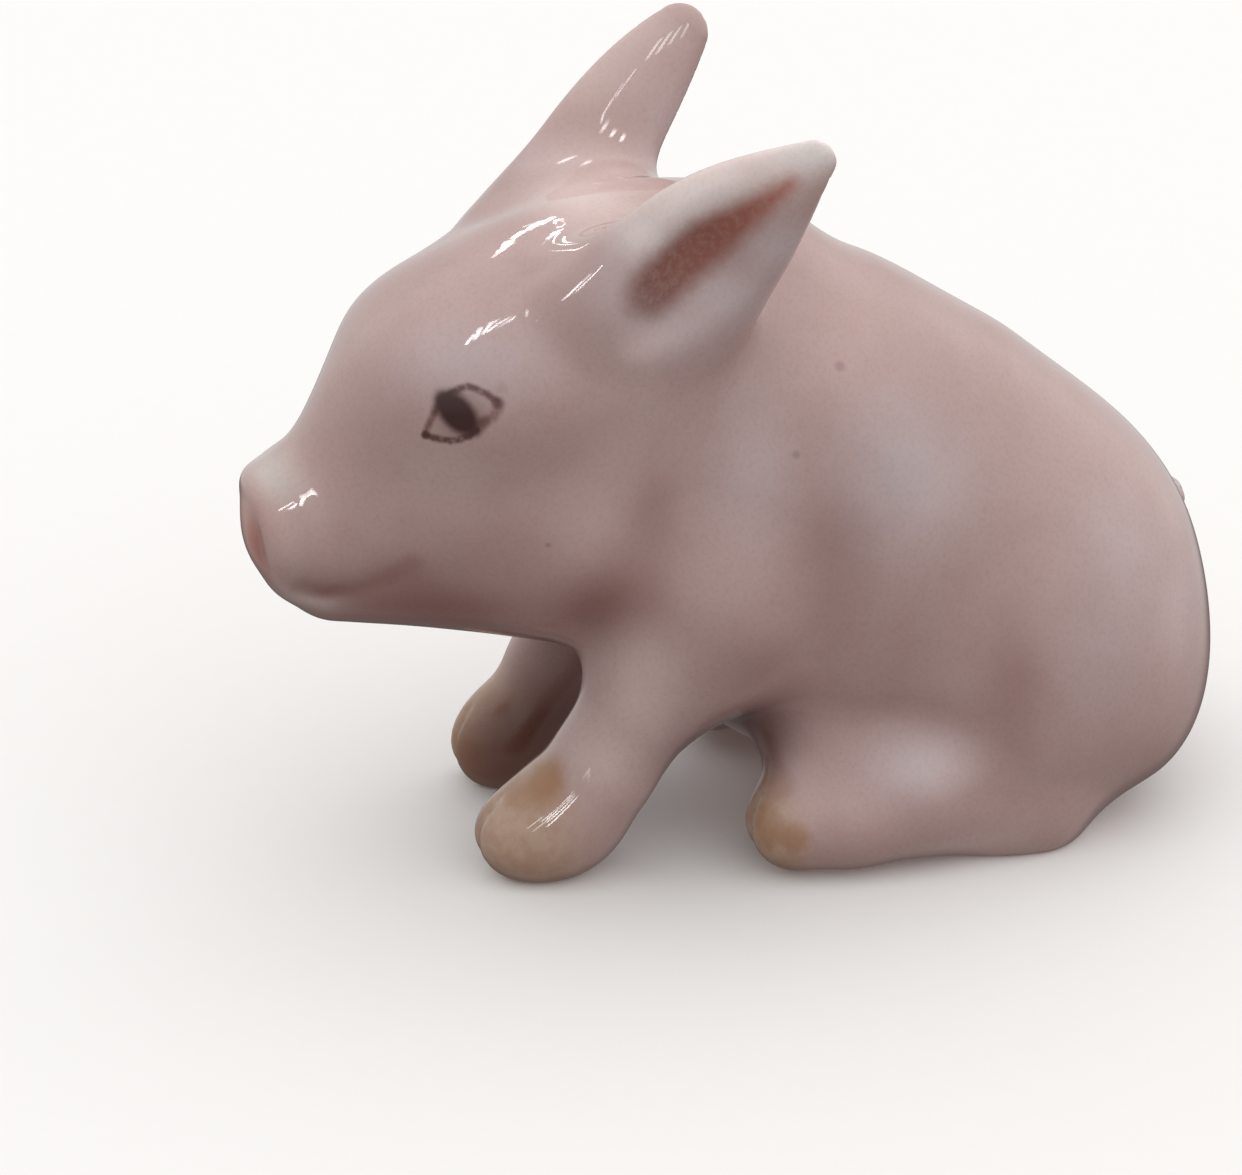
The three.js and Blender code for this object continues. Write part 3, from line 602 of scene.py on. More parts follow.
# ------------------------------------------------------------------ node helpers
class Net:
    """Short hand for building a node tree."""

    def __init__(self, tree):
        self.t = tree

    def new(self, kind, **props):
        n = self.t.nodes.new(kind)
        for k, v in props.items():
            setattr(n, k, v)
        return n

    def put(self, socket, value):
        if isinstance(value, bpy.types.NodeSocket):
            self.t.links.new(value, socket)
        else:
            socket.default_value = value

    def math(self, op, *a, clamp=False):
        n = self.new("ShaderNodeMath", operation=op, use_clamp=clamp)
        for i, v in enumerate(a):
            self.put(n.inputs[i], v)
        return n.outputs[0]

    def vec(self, op, *a, out=0, scale=None):
        n = self.new("ShaderNodeVectorMath", operation=op)
        for i, v in enumerate(a):
            self.put(n.inputs[i], v)
        if scale is not None:
            self.put(n.inputs["Scale"], scale)
        return n.outputs[out]

    def mix(self, fac, a, b, blend="MIX"):
        n = self.new("ShaderNodeMix", data_type="RGBA", blend_type=blend)
        self.put(n.inputs[0], fac)
        for s, v in ((n.inputs[6], a), (n.inputs[7], b)):
            if isinstance(v, bpy.types.NodeSocket):
                self.t.links.new(v, s)
            else:
                s.default_value = (*v, 1.0)
        return n.outputs[2]

    def ramp(self, v, a, b, lo=0.0, hi=1.0):
        """lo at a to hi at b, eased."""
        n = self.new("ShaderNodeMapRange", interpolation_type="SMOOTHSTEP")
        self.put(n.inputs[0], v)
        for i, x in ((1, a), (2, b), (3, lo), (4, hi)):
            n.inputs[i].default_value = x
        return n.outputs[0]

    def noise(self, v, scale, detail=2.0, rough=0.5, out=0):
        n = self.new("ShaderNodeTexNoise")
        self.put(n.inputs["Vector"], v)
        n.inputs["Scale"].default_value = scale
        n.inputs["Detail"].default_value = detail
        n.inputs["Roughness"].default_value = rough
        return n.outputs[out]

    def blob(self, p, c, r, soft=0.35, rot=(0, 0, 0)):
        """1 inside an ellipsoid, 0 outside, with a soft edge."""
        n = self.new("ShaderNodeMapping", vector_type="TEXTURE")
        self.put(n.inputs[0], p)
        n.inputs[1].default_value = c
        n.inputs[2].default_value = [math.radians(x) for x in rot]
        n.inputs[3].default_value = r
        d = self.vec("LENGTH", n.outputs[0], out=1)
        return self.ramp(d, 1 - soft, 1 + soft, 1.0, 0.0)

    def stroke(self, p, pts, smooth=0.0):
        """Distance from an open line through the points."""
        best = None
        for a, b in zip(pts[:-1], pts[1:]):
            a = Vector(a); b = Vector(b); ab = b - a
            pa = self.vec("SUBTRACT", p, tuple(a))
            h = self.math("MULTIPLY", self.vec("DOT_PRODUCT", pa, tuple(ab), out=1), 1 / max(ab.length_squared, 1e-9), clamp=True)
            d = self.vec("LENGTH", self.vec("SUBTRACT", pa, self.vec("SCALE", tuple(ab), scale=h)), out=1)
            if best is None:
                best = d
            elif smooth:
                n = self.new("ShaderNodeMath", operation="SMOOTH_MIN")
                self.put(n.inputs[0], best); self.put(n.inputs[1], d); n.inputs[2].default_value = smooth
                best = n.outputs[0]
            else:
                best = self.math("MINIMUM", best, d)
        return best

    def taper(self, p, a, b, ra, rb):
        """Distance outside a stroke that narrows from radius ra at a to rb at b."""
        a = Vector(a); b = Vector(b); ab = b - a
        pa = self.vec("SUBTRACT", p, tuple(a))
        h = self.math("MULTIPLY", self.vec("DOT_PRODUCT", pa, tuple(ab), out=1), 1 / ab.length_squared, clamp=True)
        d = self.vec("LENGTH", self.vec("SUBTRACT", pa, self.vec("SCALE", tuple(ab), scale=h)), out=1)
        return self.math("SUBTRACT", d, self.math("MULTIPLY_ADD", h, rb - ra, ra))


def lin(r, g, b):
    return tuple(float(x) for x in srgb(r, g, b))


def mirrored(g, v):
    """The same place on the figurine's left side."""
    s = g.new("ShaderNodeSeparateXYZ"); g.put(s.inputs[0], v)
    c = g.new("ShaderNodeCombineXYZ")
    g.put(c.inputs[0], g.math("ABSOLUTE", s.outputs[0]))
    g.put(c.inputs[1], s.outputs[1]); g.put(c.inputs[2], s.outputs[2])
    return c.outputs[0], s.outputs


# ------------------------------------------------------------------ painted details
EYE_AT = (4.32, -11.65, 17.27)               # head frame
EYE_R = tuple(float(x) for x in (V(0.24192, 0.97030, 0.0) @ HM))
EYE_U = tuple(float(x) for x in (V(-0.42535, 0.10605, 0.89879) @ HM))


def paint_eye(g, col, qm, wob):
    """Almond eye: brown lid lines, dark oval iris and the bare corners between."""
    d = g.vec("SUBTRACT", qm, EYE_AT)
    c = g.new("ShaderNodeCombineXYZ")
    g.put(c.inputs[0], g.vec("DOT_PRODUCT", d, EYE_R, out=1))
    g.put(c.inputs[1], g.vec("DOT_PRODUCT", d, EYE_U, out=1))
    e = g.vec("ADD", c.outputs[0], g.vec("SCALE", wob, scale=0.06))
    k = 0.0305

    def px(*pts):
        return [((x - 459.5) * k, (414.0 - y) * k, 0.0) for x, y in pts]

    inside = g.blob(e, px((461, 414))[0], (1.05, 0.62, 9.0), soft=0.20, rot=(0, 0, 27))
    col = g.mix(g.math("MULTIPLY", inside, 0.38), col, lin(150, 122, 116))
    halo = g.blob(e, px((461, 415))[0], (0.98, 0.60, 9.0), soft=0.45, rot=(0, 0, -47))
    col = g.mix(g.math("MULTIPLY", g.math("MULTIPLY", halo, inside), 0.42), col, lin(104, 70, 62))
    dry = g.ramp(g.noise(e, 3.6, 2.0, 0.6), 0.32, 0.56, 0.62, 1.0)
    # brush lines: points, solid and faded half widths (mm), strength, colour
    for pts, w0, w1, k_line, tint in (
            (((425, 434), (430.5, 421), (437, 408), (445, 398.5)), 0.02, 0.17, 0.74, (96, 46, 40)),
            (((444, 399), (452, 393.5), (460, 389), (468, 386.5), (477, 389.0), (487, 394.0), (498, 402)), 0.025, 0.16, 0.88, (80, 32, 27)),
            (((498, 402), (498, 410), (493, 417), (485, 422.5), (477, 431)), 0.04, 0.24, 0.60, (106, 56, 48)),
            (((425, 434), (433, 437), (441, 438.8), (450, 440), (460, 438.8), (470, 435), (477, 430)), 0.03, 0.15, 0.88, (80, 32, 27)),
            (((494, 394), (499, 390), (503, 388)), 0.0, 0.26, 0.22, (120, 84, 76)),
            (((499, 408), (503, 405)), 0.0, 0.20, 0.22, (120, 84, 76))):
        d_line = g.stroke(e, px(*pts), smooth=0.03)
        ink = g.math("MULTIPLY", g.ramp(d_line, w0, w1 * 1.12, k_line, 0.0), dry)
        col = g.mix(ink, col, lin(*tint))
    for at, r, k_dot in (((426, 434), 0.12, 0.68), ((498, 403), 0.18, 0.55), ((485, 421.5), 0.17, 0.45), ((444, 400), 0.24, 0.9)):
        dot = g.blob(e, px(at)[0], (r, r, 9.0), soft=0.55)
        col = g.mix(g.math("MULTIPLY", dot, k_dot), col, lin(72, 38, 34))
    iris = g.blob(e, px((457.5, 413.0))[0], (0.84, 0.47, 9.0), soft=0.30, rot=(0, 0, -46))
    crown = g.blob(e, px((448, 402))[0], (0.48, 0.34, 9.0), soft=0.40, rot=(0, 0, 40))
    dark = g.math("MAXIMUM", iris, g.math("MULTIPLY", crown, 0.88))
    return g.mix(dark, col, lin(56, 15, 12))


def paint_head(g, col, p, q, wob):
    qm, qs = mirrored(g, q)
    flat = g.new("ShaderNodeCombineXYZ")
    g.put(flat.inputs[1], qs[1]); g.put(flat.inputs[2], qs[2])
    f = g.vec("ADD", flat.outputs[0], g.vec("SCALE", wob, scale=0.10))
    # the mouth line, painted darker, partly standing for the shade of its groove
    line = g.stroke(f, [(0, y, z) for y, z in MOUTH[1:]], smooth=0.1)
    col = g.mix(g.ramp(line, 0.0, 0.62, 0.34, 0.0), col, lin(126, 78, 70))
    nostril = g.blob(qm, (1.00, -17.1, 12.05), (0.52, 0.80, 0.92), soft=0.6)
    col = g.mix(g.math("MULTIPLY", nostril, 0.60), col, lin(170, 102, 90))
    deep = g.blob(qm, (1.04, -17.0, 11.9), (0.24, 0.8, 0.5), soft=0.6)
    col = g.mix(g.math("MULTIPLY", deep, 0.26), col, lin(120, 66, 56))
    col = paint_eye(g, col, qm, wob)
    col = paint_ear(1)(g, col, p, q, wob)
    col = paint_ear(-1)(g, col, p, q, wob)
    speck = g.blob(p, (4.95, -8.55, 12.44), (0.10, 0.10, 0.07), soft=0.6)
    return g.mix(g.math("MULTIPLY", speck, 0.5), col, lin(132, 96, 88))


def paint_ear(side):
    def paint(g, col, p, q, wob):
        A, U, N, L = EF[side]
        m = Matrix(((U[0], side * N[0], A[0]), (U[1], side * N[1], A[1]), (U[2], side * N[2], A[2])))
        n = g.new("ShaderNodeMapping", vector_type="TEXTURE")
        g.put(n.inputs[0], q)
        n.inputs[1].default_value = EARS[side][0]
        n.inputs[2].default_value = m.to_euler("XYZ")
        s = g.new("ShaderNodeSeparateXYZ"); g.put(s.inputs[0], n.outputs[0])
        outer = g.ramp(s.outputs[1], -0.35, 0.05) if side > 0 else g.ramp(s.outputs[1], -0.05, 0.35, 1.0, 0.0)
        c = g.new("ShaderNodeCombineXYZ"); g.put(c.inputs[0], s.outputs[0]); g.put(c.inputs[2], s.outputs[2])
        e = g.vec("ADD", c.outputs[0], g.vec("SCALE", wob, scale=0.22))
        grain = g.noise(p, 4.5, 3.0, 0.65)
        low = g.taper(e, (0.84, 0, 1.84), (0.59, 0, 4.1), 0.90, 0.90)
        high = g.taper(e, (0.59, 0, 4.1), (0.16, 0, 7.25), 0.90, 0.27)
        d = g.math("MINIMUM", low, high)
        d = g.math("ADD", d, g.math("MULTIPLY", g.math("SUBTRACT", grain, 0.5), 0.34))
        wash = g.math("MULTIPLY", g.ramp(d, -0.50, 0.34, 1.0, 0.0), outer)
        # thinner at the foot of the ear, and patchy where the brush ran dry
        wash = g.math("MULTIPLY", wash, g.ramp(s.outputs[2], 0.6, 2.3, 0.55, 1.0))
        wash = g.math("MULTIPLY", wash, g.ramp(grain, 0.3, 0.62, 0.80, 1.0))
        tone = g.new("ShaderNodeMapRange"); g.put(tone.inputs[0], s.outputs[2])
        tone.inputs[1].default_value = 1.2; tone.inputs[2].default_value = 7.6
        brown = g.mix(tone.outputs[0], lin(115, 68, 57), lin(178, 99, 77))
        return g.mix(g.math("MULTIPLY", wash, 0.92), col, brown)
    return paint


def paint_hoof(centre, front, low, blotches, inner_k=0.80, inner_to=0.1, up_k=0.35):
    """Ochre washed over the toes, browner round the foot and in blotches, with painted shade on the inner side between
    the feet.
    """
    def paint(g, col, p, q, wob):
        pm, ps = mirrored(g, p)
        e = g.vec("ADD", pm, g.vec("SCALE", wob, scale=0.35))
        wash = g.blob(e, centre, front, soft=0.42)
        mottle = g.ramp(g.noise(p, 1.5, 3.0, 0.6), 0.36, 0.62)
        col = g.mix(g.math("MULTIPLY", wash, 0.66), col, g.mix(mottle, lin(187, 160, 132), lin(173, 139, 105)))
        foot = g.math("MULTIPLY", wash, g.ramp(ps[2], low, low + 1.5, 1.0, 0.0))
        col = g.mix(g.math("MULTIPLY", foot, 0.55), col, lin(138, 108, 80))
        for c, r, k in blotches:
            b = g.blob(e, c, r, soft=0.55)
            col = g.mix(g.math("MULTIPLY", b, k), col, lin(156, 110, 70))
        # painted shade on the inner side, between the feet
        between_feet_shade = g.math("ABSOLUTE", ps[0])
        between_feet_shade = g.math("MULTIPLY", g.ramp(between_feet_shade, centre[0] - 1.8, centre[0] + inner_to, inner_k, 0.0), g.ramp(ps[2], 2.6, 5.0, 1.0, up_k))
        return g.mix(between_feet_shade, col, lin(102, 62, 50))
    return paint


def paint_body(g, col, p, q, wob):
    for c, r, k, tint in (((4.65, 0.85, 17.37), 0.16, 0.55, (150, 106, 120)), ((5.77, -0.84, 15.02), 0.12, 0.5, (140, 112, 110)),
                          ((5.79, 7.9, 9.2), 0.05, 0.4, (140, 110, 100)), ((-4.9, 3.1, 15.6), 0.09, 0.4, (146, 112, 112))):
        s = g.blob(p, c, (r, r, r), soft=0.6)
        col = g.mix(g.math("MULTIPLY", s, k), col, lin(*tint))
    return col


def plain(g, col, p, q, wob):
    return col


def glaze(name, paint, coat=1.0):
    m = bpy.data.materials.new(name)
    m.use_nodes = True
    g = Net(m.node_tree)
    bsdf = m.node_tree.nodes["Principled BSDF"]
    co = g.new("ShaderNodeTexCoord").outputs["Object"]
    p = g.vec("SUBTRACT", g.vec("SCALE", co, scale=1000.0), tuple(float(x) for x in SHIFT))
    n = g.new("ShaderNodeMapping", vector_type="TEXTURE")
    g.put(n.inputs[0], p)
    n.inputs[1].default_value = HEAD_PIVOT
    n.inputs[2].default_value = (0, math.radians(1.39), math.radians(4.32))
    q = g.vec("ADD", n.outputs[0], HEAD_PIVOT)
    wob = g.vec("SUBTRACT", g.noise(p, 2.2, 2.0, 0.6, out=1), (0.5, 0.5, 0.5))
    at = g.new("ShaderNodeAttribute", attribute_name="airbrush_and_painted_light")
    col = at.outputs["Color"]
    # the spray's uneven density, and its fine grain
    cloud = g.noise(p, 0.42, 3.0, 0.55)
    col = g.mix(g.ramp(cloud, 0.35, 0.65, 0.0, 0.10), col, lin(196, 160, 150), "MULTIPLY")
    grain = g.noise(p, 7.0, 3.0, 0.75)
    col = g.mix(g.ramp(grain, 0.42, 0.72, 0.0, 0.11), col, lin(170, 120, 106), "MULTIPLY")
    col = paint(g, col, p, q, wob)
    g.put(bsdf.inputs["Base Color"], col)
    bsdf.inputs["IOR"].default_value = 1.5
    bsdf.inputs["Coat Weight"].default_value = 0.35 * coat
    bsdf.inputs["Coat Roughness"].default_value = 0.02
    # duller in the crook between belly and hind leg
    crook = g.blob(mirrored(g, p)[0], (4.1, -1.4, 3.3), (2.3, 2.0, 3.2), soft=0.5)
    rough = g.noise(p, 0.9, 2.0, 0.5)
    rough = g.ramp(rough, 0.3, 0.7, 0.26 - 0.225 * coat, 0.34 - 0.265 * coat)
    g.put(bsdf.inputs["Roughness"], g.math("MAXIMUM", rough, g.math("MULTIPLY", crook, 0.34)))
    # the glaze lies in soft waves, with a faint orange peel
    wave = g.noise(p, 0.35, 1.0, 0.4)
    peel = g.noise(p, 2.2, 1.0, 0.4)
    h = g.math("ADD", g.math("MULTIPLY", wave, 0.014), g.math("MULTIPLY", peel, 0.0006))
    b = g.new("ShaderNodeBump")
    b.inputs["Strength"].default_value = 1.0
    b.inputs["Distance"].default_value = 0.001
    g.put(b.inputs["Height"], h)
    g.put(bsdf.inputs["Normal"], b.outputs[0])
    g.put(bsdf.inputs["Coat Normal"], b.outputs[0])
    return m


FORE = paint_hoof((3.3, -9.0, 1.7), (2.3, 2.1, 2.3), 0.0, [((4.03, -8.47, 3.6), (0.78, 0.72, 0.84), 0.88), ((3.45, -9.4, 3.1), (0.8, 0.6, 0.5), 0.55)])
FAR_FORE = paint_hoof((3.3, -9.0, 1.7), (2.3, 2.1, 2.3), 0.0, [((2.6, -9.7, 1.6), (0.7, 0.6, 0.7), 0.50)], 0.90, 0.7, 0.45)
HIND = paint_hoof((5.3, -1.9, 1.4), (2.1, 1.7, 1.9), 0.0, [((5.89, -1.72, 2.0), (0.55, 0.5, 0.8), 0.55), ((6.5, -0.9, 1.9), (0.4, 0.5, 0.5), 0.55)])
LOOKS = {
    "torso": ("body_glaze", paint_body), "head": ("body_glaze", paint_head), "tail": ("body_glaze", plain),
    "left_ear": ("ear_glaze", paint_ear(1)), "right_ear": ("ear_glaze", paint_ear(-1)),
    "left_foreleg": ("leg_glaze", FORE), "right_foreleg": ("leg_glaze", FAR_FORE),
    "left_hind_leg": ("leg_glaze", HIND), "right_hind_leg": ("leg_glaze", HIND),
}
MADE = {}
for index, node in enumerate(PIECES):
    slot_name, paint = LOOKS[node]
    piece = MADE[node] = make_piece(node, index)
    # the glaze ran thin on the far foreleg, and somewhat on the hind legs
    coat = {"right_foreleg": 0.0, "left_hind_leg": 0.5, "right_hind_leg": 0.5}.get(node, 1.0)
    piece.data.materials.append(glaze("glaze_" + node, paint, coat))
    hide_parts(node)
    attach(piece, "root")


# ------------------------------------------------------------------ floor, light, camera
def floor():
    mesh = bpy.data.meshes.new("floor")
    n, w = 48, 1.2
    pts = [((i / n - 0.5) * w, (j / n - 0.5) * w, 0.0) for j in range(n + 1) for i in range(n + 1)]
    quads = [(j * (n + 1) + i, j * (n + 1) + i + 1, (j + 1) * (n + 1) + i + 1, (j + 1) * (n + 1) + i) for j in range(n) for i in range(n)]
    mesh.from_pydata(pts, [], quads)
    o = bpy.data.objects.new("floor", mesh)
    bpy.context.scene.collection.objects.link(o)
    m = bpy.data.materials.new("floor_paper"); m.use_nodes = True
    g = Net(m.node_tree)
    b = m.node_tree.nodes["Principled BSDF"]
    co = g.new("ShaderNodeTexCoord").outputs["Object"]
    t = g.noise(co, 900.0, 3.0, 0.6)
    g.put(b.inputs["Base Color"], g.mix(g.ramp(t, 0.3, 0.7, 0.0, 0.06), lin(242, 242, 241), lin(233, 233, 232)))
    b.inputs["Roughness"].default_value = 0.75
    b.inputs["Specular IOR Level"].default_value = 0.1
    mesh.materials.append(m)
    o.visible_diffuse = o.visible_glossy = False          # no light thrown back up from the paper


def area(name, at, look, size, power, color=(1, 1, 1), size_y=None):
    l = bpy.data.lights.new(name, "AREA")
    l.energy = power; l.color = color
    l.shape = "RECTANGLE"; l.size = size; l.size_y = size_y or size
    o = bpy.data.objects.new(name, l)
    o.location = at
    o.rotation_euler = (Vector(look) - Vector(at)).to_track_quat("-Z", "Y").to_euler()
    bpy.context.scene.collection.objects.link(o)
    return o


floor()


world = bpy.data.worlds.new("studio"); world.use_nodes = True
g = Net(world.node_tree)
# one wide, even gradient: brightest high behind the far side, dim low on the near side
ray = g.new("ShaderNodeTexCoord").outputs["Generated"]
toward = g.vec("DOT_PRODUCT", ray, (-0.345, 0.365, 0.865), out=1)
height = g.new("ShaderNodeSeparateXYZ"); g.put(height.inputs[0], ray)
air = g.mix(g.math("MULTIPLY_ADD", toward, 0.5, 0.5, clamp=True), (0.17, 0.165, 0.165), (1.70, 1.67, 1.65))
beyond = g.vec("DOT_PRODUCT", ray, (-0.97, 0.24, 0.0), out=1)
wall = g.vec("DOT_PRODUCT", ray, (-0.955, 0.236, 0.174), out=1)
air = g.mix(g.ramp(wall, 0.62, 0.92, 0.0, 0.92), air, (0.88, 0.865, 0.855))        # a greyer wall behind
low = g.mix(g.ramp(height.outputs[2], -0.95, -0.30), (0.32, 0.270, 0.260), (0.44, 0.405, 0.395))
under = g.vec("DOT_PRODUCT", ray, (-0.732, 0.183, -0.656), out=1)
low = g.mix(g.ramp(under, 0.72, 0.90), low, (0.16, 0.135, 0.13))
below = g.mix(g.math("MULTIPLY", g.ramp(beyond, 0.35, 0.85), g.ramp(height.outputs[2], -0.40, -0.26)), low, (0.80, 0.79, 0.78))
room = g.mix(g.ramp(height.outputs[2], -0.30, 0.02), below, air)
seen = g.new("ShaderNodeLightPath").outputs["Is Camera Ray"]                        # the backdrop is plain and pale
g.put(world.node_tree.nodes["Background"].inputs[0], g.mix(seen, room, (1.15, 1.145, 1.135)))
world.node_tree.nodes["Background"].inputs[1].default_value = 0.86
bpy.context.scene.world = world

# Small bright tubes, which the glaze shows as short dashes. Each group shines on one
# piece only: place on the form (mm), direction as azimuth and elevation, roll, angular
# width and length of the tube (rad), brightness.
TUBES = {
    "head": [
        ((1.52, -9.3, 20.89), -68, 52, 101, 0.054, 0.142, 8), ((1.44, -9.1, 20.98), -71, 50, 112, 0.083, 0.123, 15),
        ((1.25, -8.91, 21.09), -75, 47, 135, 0.103, 0.114, 15), ((1.05, -8.53, 21.26), -80, 43, 112, 0.079, 0.135, 17),
        ((0.95, -8.13, 21.4), -84, 41, 127, 0.072, 0.115, 11), ((0.88, -7.9, 21.47), -85, 40, 118, 0.084, 0.141, 16),
        ((0.91, -7.59, 21.55), -87, 40, 113, 0.069, 0.158, 16), ((1.11, -7.38, 21.56), -88, 43, 140, 0.03, 0.053, 12),
        ((1.32, -7.23, 21.56), -89, 42, 52, 0.029, 0.06, 9), ((1.96, -7.62, 21.38), -84, 31, 68, 0.034, 0.202, 11),
        ((2.4, -7.37, 21.48), -85, 19, 74, 0.044, 0.133, 14), ((2.73, -7.42, 21.47), -78, 21, 13, 0.026, 0.132, 10),
        ((3.38, -7.23, 21.59), -65, 23, 25, 0.026, 0.306, 9), ((3.88, -10.7, 19.14), 32, 69, 10, 0.048, 0.16, 17),
        ((3.82, -10.43, 19.27), 34, 72, 29, 0.064, 0.169, 15), ((3.79, -10.14, 19.4), 40, 74, 13, 0.046, 0.15, 16),
        ((3.79, -9.88, 19.47), 46, 73, 167, 0.026, 0.123, 16), ((3.78, -9.4, 19.63), 41, 68, 118, 0.033, 0.15, 17),
        ((3.84, -8.9, 19.82), 21, 47, 100, 0.093, 0.244, 8), ((2.62, -16.36, 13.58), 42, 40, 157, 0.041, 0.1, 15),
        ((2.71, -16.13, 13.62), 47, 37, 168, 0.059, 0.104, 17), ((2.74, -15.84, 13.76), 54, 41, 9, 0.111, 0.238, 17),
        ((2.7, -15.65, 13.9), 57, 44, 143, 0.026, 0.132, 16), ((2.63, -15.58, 14.03), 49, 45, 110, 0.056, 0.161, 9),
        ((4.37, -7.63, 20.61), 27, 26, 170, 0.052, 0.252, 11), ((4.41, -7.47, 20.74), 28, 27, 168, 0.046, 0.275, 9),
        ((4.5, -7.22, 20.9), 32, 27, 162, 0.033, 0.267, 9), ((4.51, -7.11, 21.01), 32, 27, 159, 0.026, 0.271, 9),
        ((-3.35, -5.86, 21.88), -113, 62, 68, 0.065, 0.348, 8), ((-3.15, -5.3, 21.79), -117, 47, 54, 0.074, 0.253, 5),
        ((-3.21, -4.6, 21.7), -125, 40, 58, 0.12, 0.237, 8),
    ],
    "right_ear": [
        ((-5.37, -2.59, 24.6), 112, 32, 155, 0.063, 0.177, 6), ((-5.48, -2.18, 24.78), 115, 28, 156, 0.065, 0.188, 6),
        ((-5.6, -1.81, 24.95), 119, 24, 153, 0.054, 0.162, 5.5), ((-5.7, -1.43, 25.08), 125, 21, 163, 0.058, 0.232, 5),
        ((-4.9, -3.59, 23.74), 110, 31, 134, 0.026, 0.201, 7), ((-4.69, -4.07, 23.36), 109, 32, 141, 0.026, 0.197, 5),
        ((-4.43, -4.45, 22.86), 111, 32, 138, 0.026, 0.146, 6), ((-4.35, -4.51, 22.72), 114, 36, 145, 0.026, 0.136, 8),
        ((-4.22, -4.48, 22.5), 123, 40, 163, 0.056, 0.291, 10), ((-4.13, -4.22, 22.3), 135, 39, 155, 0.071, 0.219, 13),
        ((-4.1, -3.92, 22.13), 145, 35, 142, 0.072, 0.249, 14),
    ],
    "left_foreleg": [
        ((4.69, -9.06, 2.5), 42, 18, 156, 0.045, 0.175, 6), ((4.82, -8.74, 2.6), 50, 13, 152, 0.052, 0.295, 5),
        ((4.94, -8.34, 2.77), 57, 9, 150, 0.05, 0.25, 14), ((4.9, -8.28, 2.93), 54, 14, 142, 0.039, 0.287, 15),
        ((4.87, -8.18, 3.11), 50, 16, 144, 0.026, 0.294, 14), ((4.84, -8.09, 3.27), 46, 16, 146, 0.026, 0.326, 13),
    ],
}
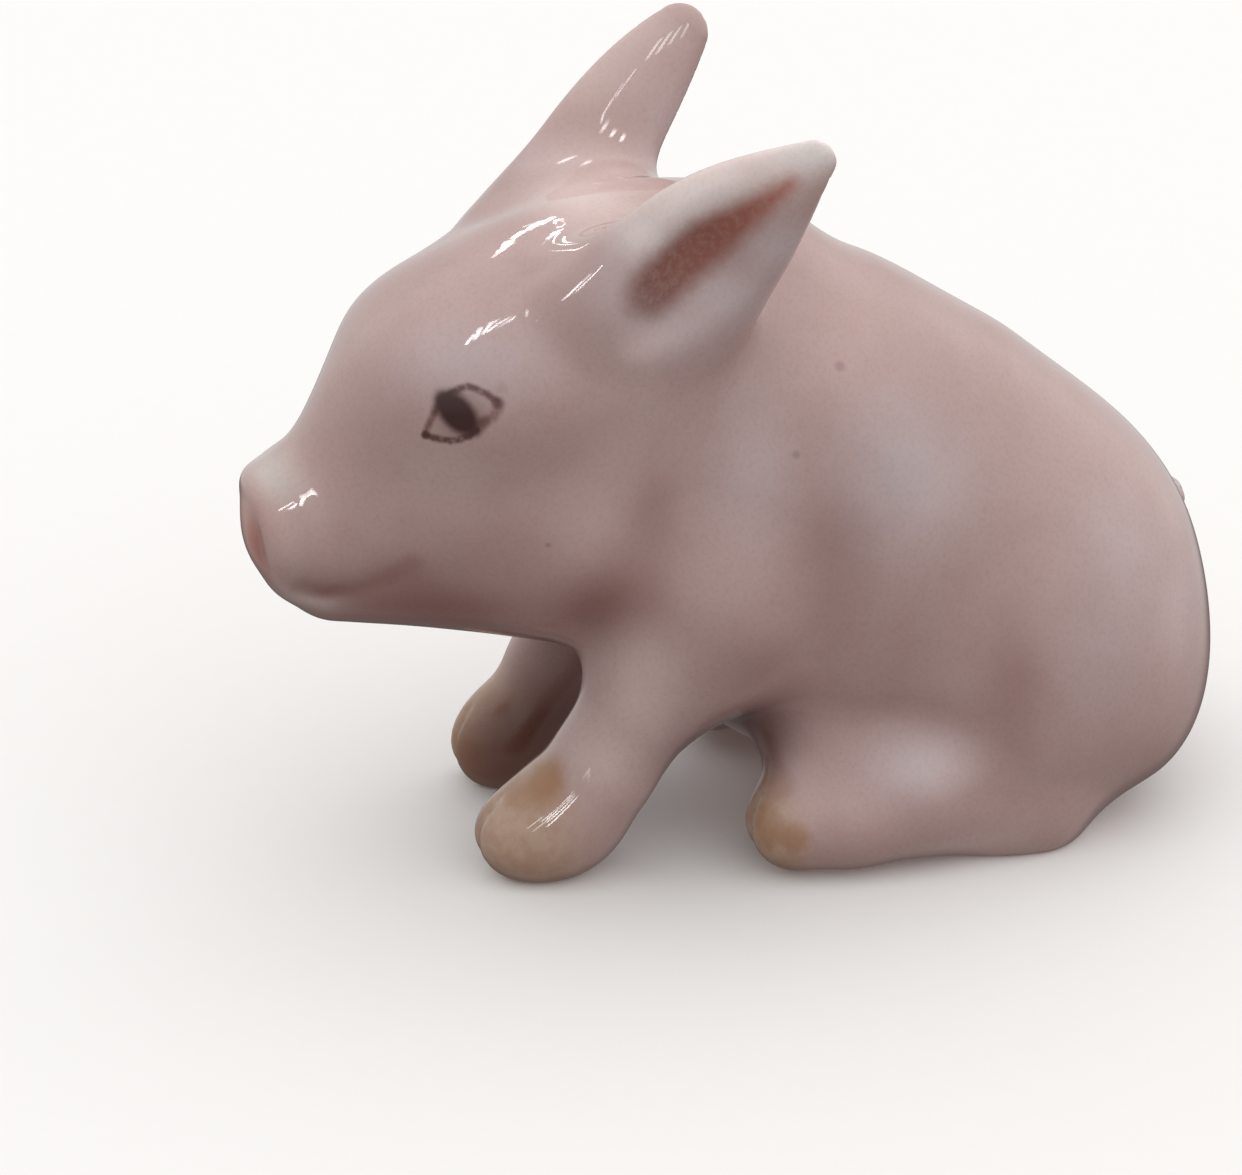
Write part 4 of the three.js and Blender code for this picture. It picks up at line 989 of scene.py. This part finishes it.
# the same lamps, as they glint from the front, the side and the back
ROUND = {
    "head": [
        ((0.07, -12.41, 19.44), -76, 45, 158, 0.055, 0.17, 9), ((0.77, -16.44, 14.5), -76, 46, 159, 0.055, 0.17, 9),
        ((3.43, -7.03, 21.75), -73, 45, 155, 0.055, 0.17, 9), ((4.69, -10.16, 18.44), 115, 33, 152, 0.055, 0.17, 9),
        ((-3.01, -6.51, 21.74), -140, 50, 33, 0.055, 0.17, 9), ((1.04, -5.83, 21.84), -139, 48, 32, 0.055, 0.17, 9),
        ((2.89, -3.82, 21.77), 39, 67, 35, 0.07, 0.26, 9), ((-0.39, -17.13, 13.59), -78, 46, 103, 0.07, 0.26, 9),
        ((1.19, -13.92, 17.91), 36, 70, 174, 0.07, 0.26, 9), ((4.23, -7.9, 20.48), 114, 31, 78, 0.07, 0.26, 9),
        ((-2.56, -10.16, 19.97), -139, 49, 175, 0.07, 0.26, 9), ((-2.86, -8.59, 21.03), -177, 61, 26, 0.07, 0.26, 9),
        ((0.13, -11.54, 19.99), -178, 60, 27, 0.07, 0.26, 9),
    ],
    "torso": [
        ((-1.34, -1.18, 21.37), 36, 67, 37, 0.07, 0.26, 9), ((0.26, 12.93, 11.44), 116, 30, 153, 0.07, 0.26, 9),
        ((3.39, -1.9, 20.53), 112, 30, 158, 0.07, 0.26, 9), ((-3.68, 11.81, 10.91), -139, 49, 32, 0.07, 0.26, 9),
        ((-2.43, 11.73, 12.03), -179, 61, 69, 0.07, 0.26, 9), ((-4.67, 0.61, 17.38), -31, 44, 99, 0.07, 0.26, 9),
        ((5.42, 5.91, 11.92), 114, 32, 15, 0.055, 0.17, 9), ((1.78, -0.43, 20.71), -139, 49, 70, 0.055, 0.17, 9),
        ((3.13, 2.92, 17.93), -140, 52, 72, 0.055, 0.17, 9), ((2.76, 0.13, 19.32), -179, 60, 118, 0.055, 0.17, 9),
    ],
    "left_ear": [
        ((4.73, -5.67, 22.6), 52, 17, 27, 0.055, 0.17, 9), ((5.15, -4.49, 23.78), 113, 33, 81, 0.07, 0.26, 9),
    ],
    "left_foreleg": [
        ((4.51, -8.56, 3.27), 116, 31, 76, 0.07, 0.26, 9),
    ],
    "left_hind_leg": [
        ((6.47, 3.62, 4.05), 114, 33, 154, 0.055, 0.17, 9),
    ],
}
REACH = 0.006                                             # m, from the glaze to a tube
for node in sorted({*TUBES, *ROUND}):
    tubes = TUBES.get(node, []) + ROUND.get(node, [])
    lit = bpy.data.collections.new("lit_" + node)
    lit.objects.link(MADE[node])
    for i, (target, az, el, roll, wide, long, bright) in enumerate(tubes):
        a, e, r = math.radians(az), math.radians(el), math.radians(roll)
        d = Vector((math.sin(a) * math.cos(e), -math.cos(a) * math.cos(e), math.sin(e)))
        side = Vector((math.cos(a), math.sin(a), 0))
        run = side * math.cos(r) + d.cross(side) * math.sin(r)
        hit = (Vector(target) + Vector([float(x) for x in SHIFT])) / 1000
        wide *= REACH; long *= REACH
        beam = 0.03 + 0.55 * long / REACH                  # half angle: lights a spot of a millimetre
        power = bright * math.pi * wide * long * beam * beam / 3
        tube = area(f"{node}_tube_{i}", hit + d * REACH, hit, wide, power, (0.98, 0.98, 1.0), size_y=long)
        tube.data.spread = 2 * beam
        tube.rotation_euler = Matrix((run, d.cross(run), d)).transposed().to_euler()
        tube.visible_diffuse = tube.visible_camera = False  # a glint only, no extra light on the clay
        tube.light_linking.receiver_collection = lit

scene = bpy.context.scene
scene.view_settings.view_transform = "Standard"
scene.view_settings.look = "None"
scene.view_settings.exposure = 0.0
scene.view_settings.gamma = 1.0

cam_data = bpy.data.cameras.new("camera")
cam = bpy.data.objects.new("camera", cam_data)
scene.collection.objects.link(cam)
cam_data.sensor_width = 36.0
cam_data.sensor_fit = "HORIZONTAL"
cam_data.lens = 133.779
cam_data.clip_start = 0.005
cam_data.clip_end = 10.0
AZ, EL = math.radians(76), math.radians(26)
right = Vector((math.cos(AZ), math.sin(AZ), 0))
back = Vector((math.sin(AZ) * math.cos(EL), -math.cos(AZ) * math.cos(EL), math.sin(EL)))
up = back.cross(right)
m = Matrix((right, up, back)).transposed().to_4x4()
m.translation = Vector((0.130813819, -0.037604770 + 0.0011305, 0.073966486))
cam.matrix_world = m
scene.camera = cam
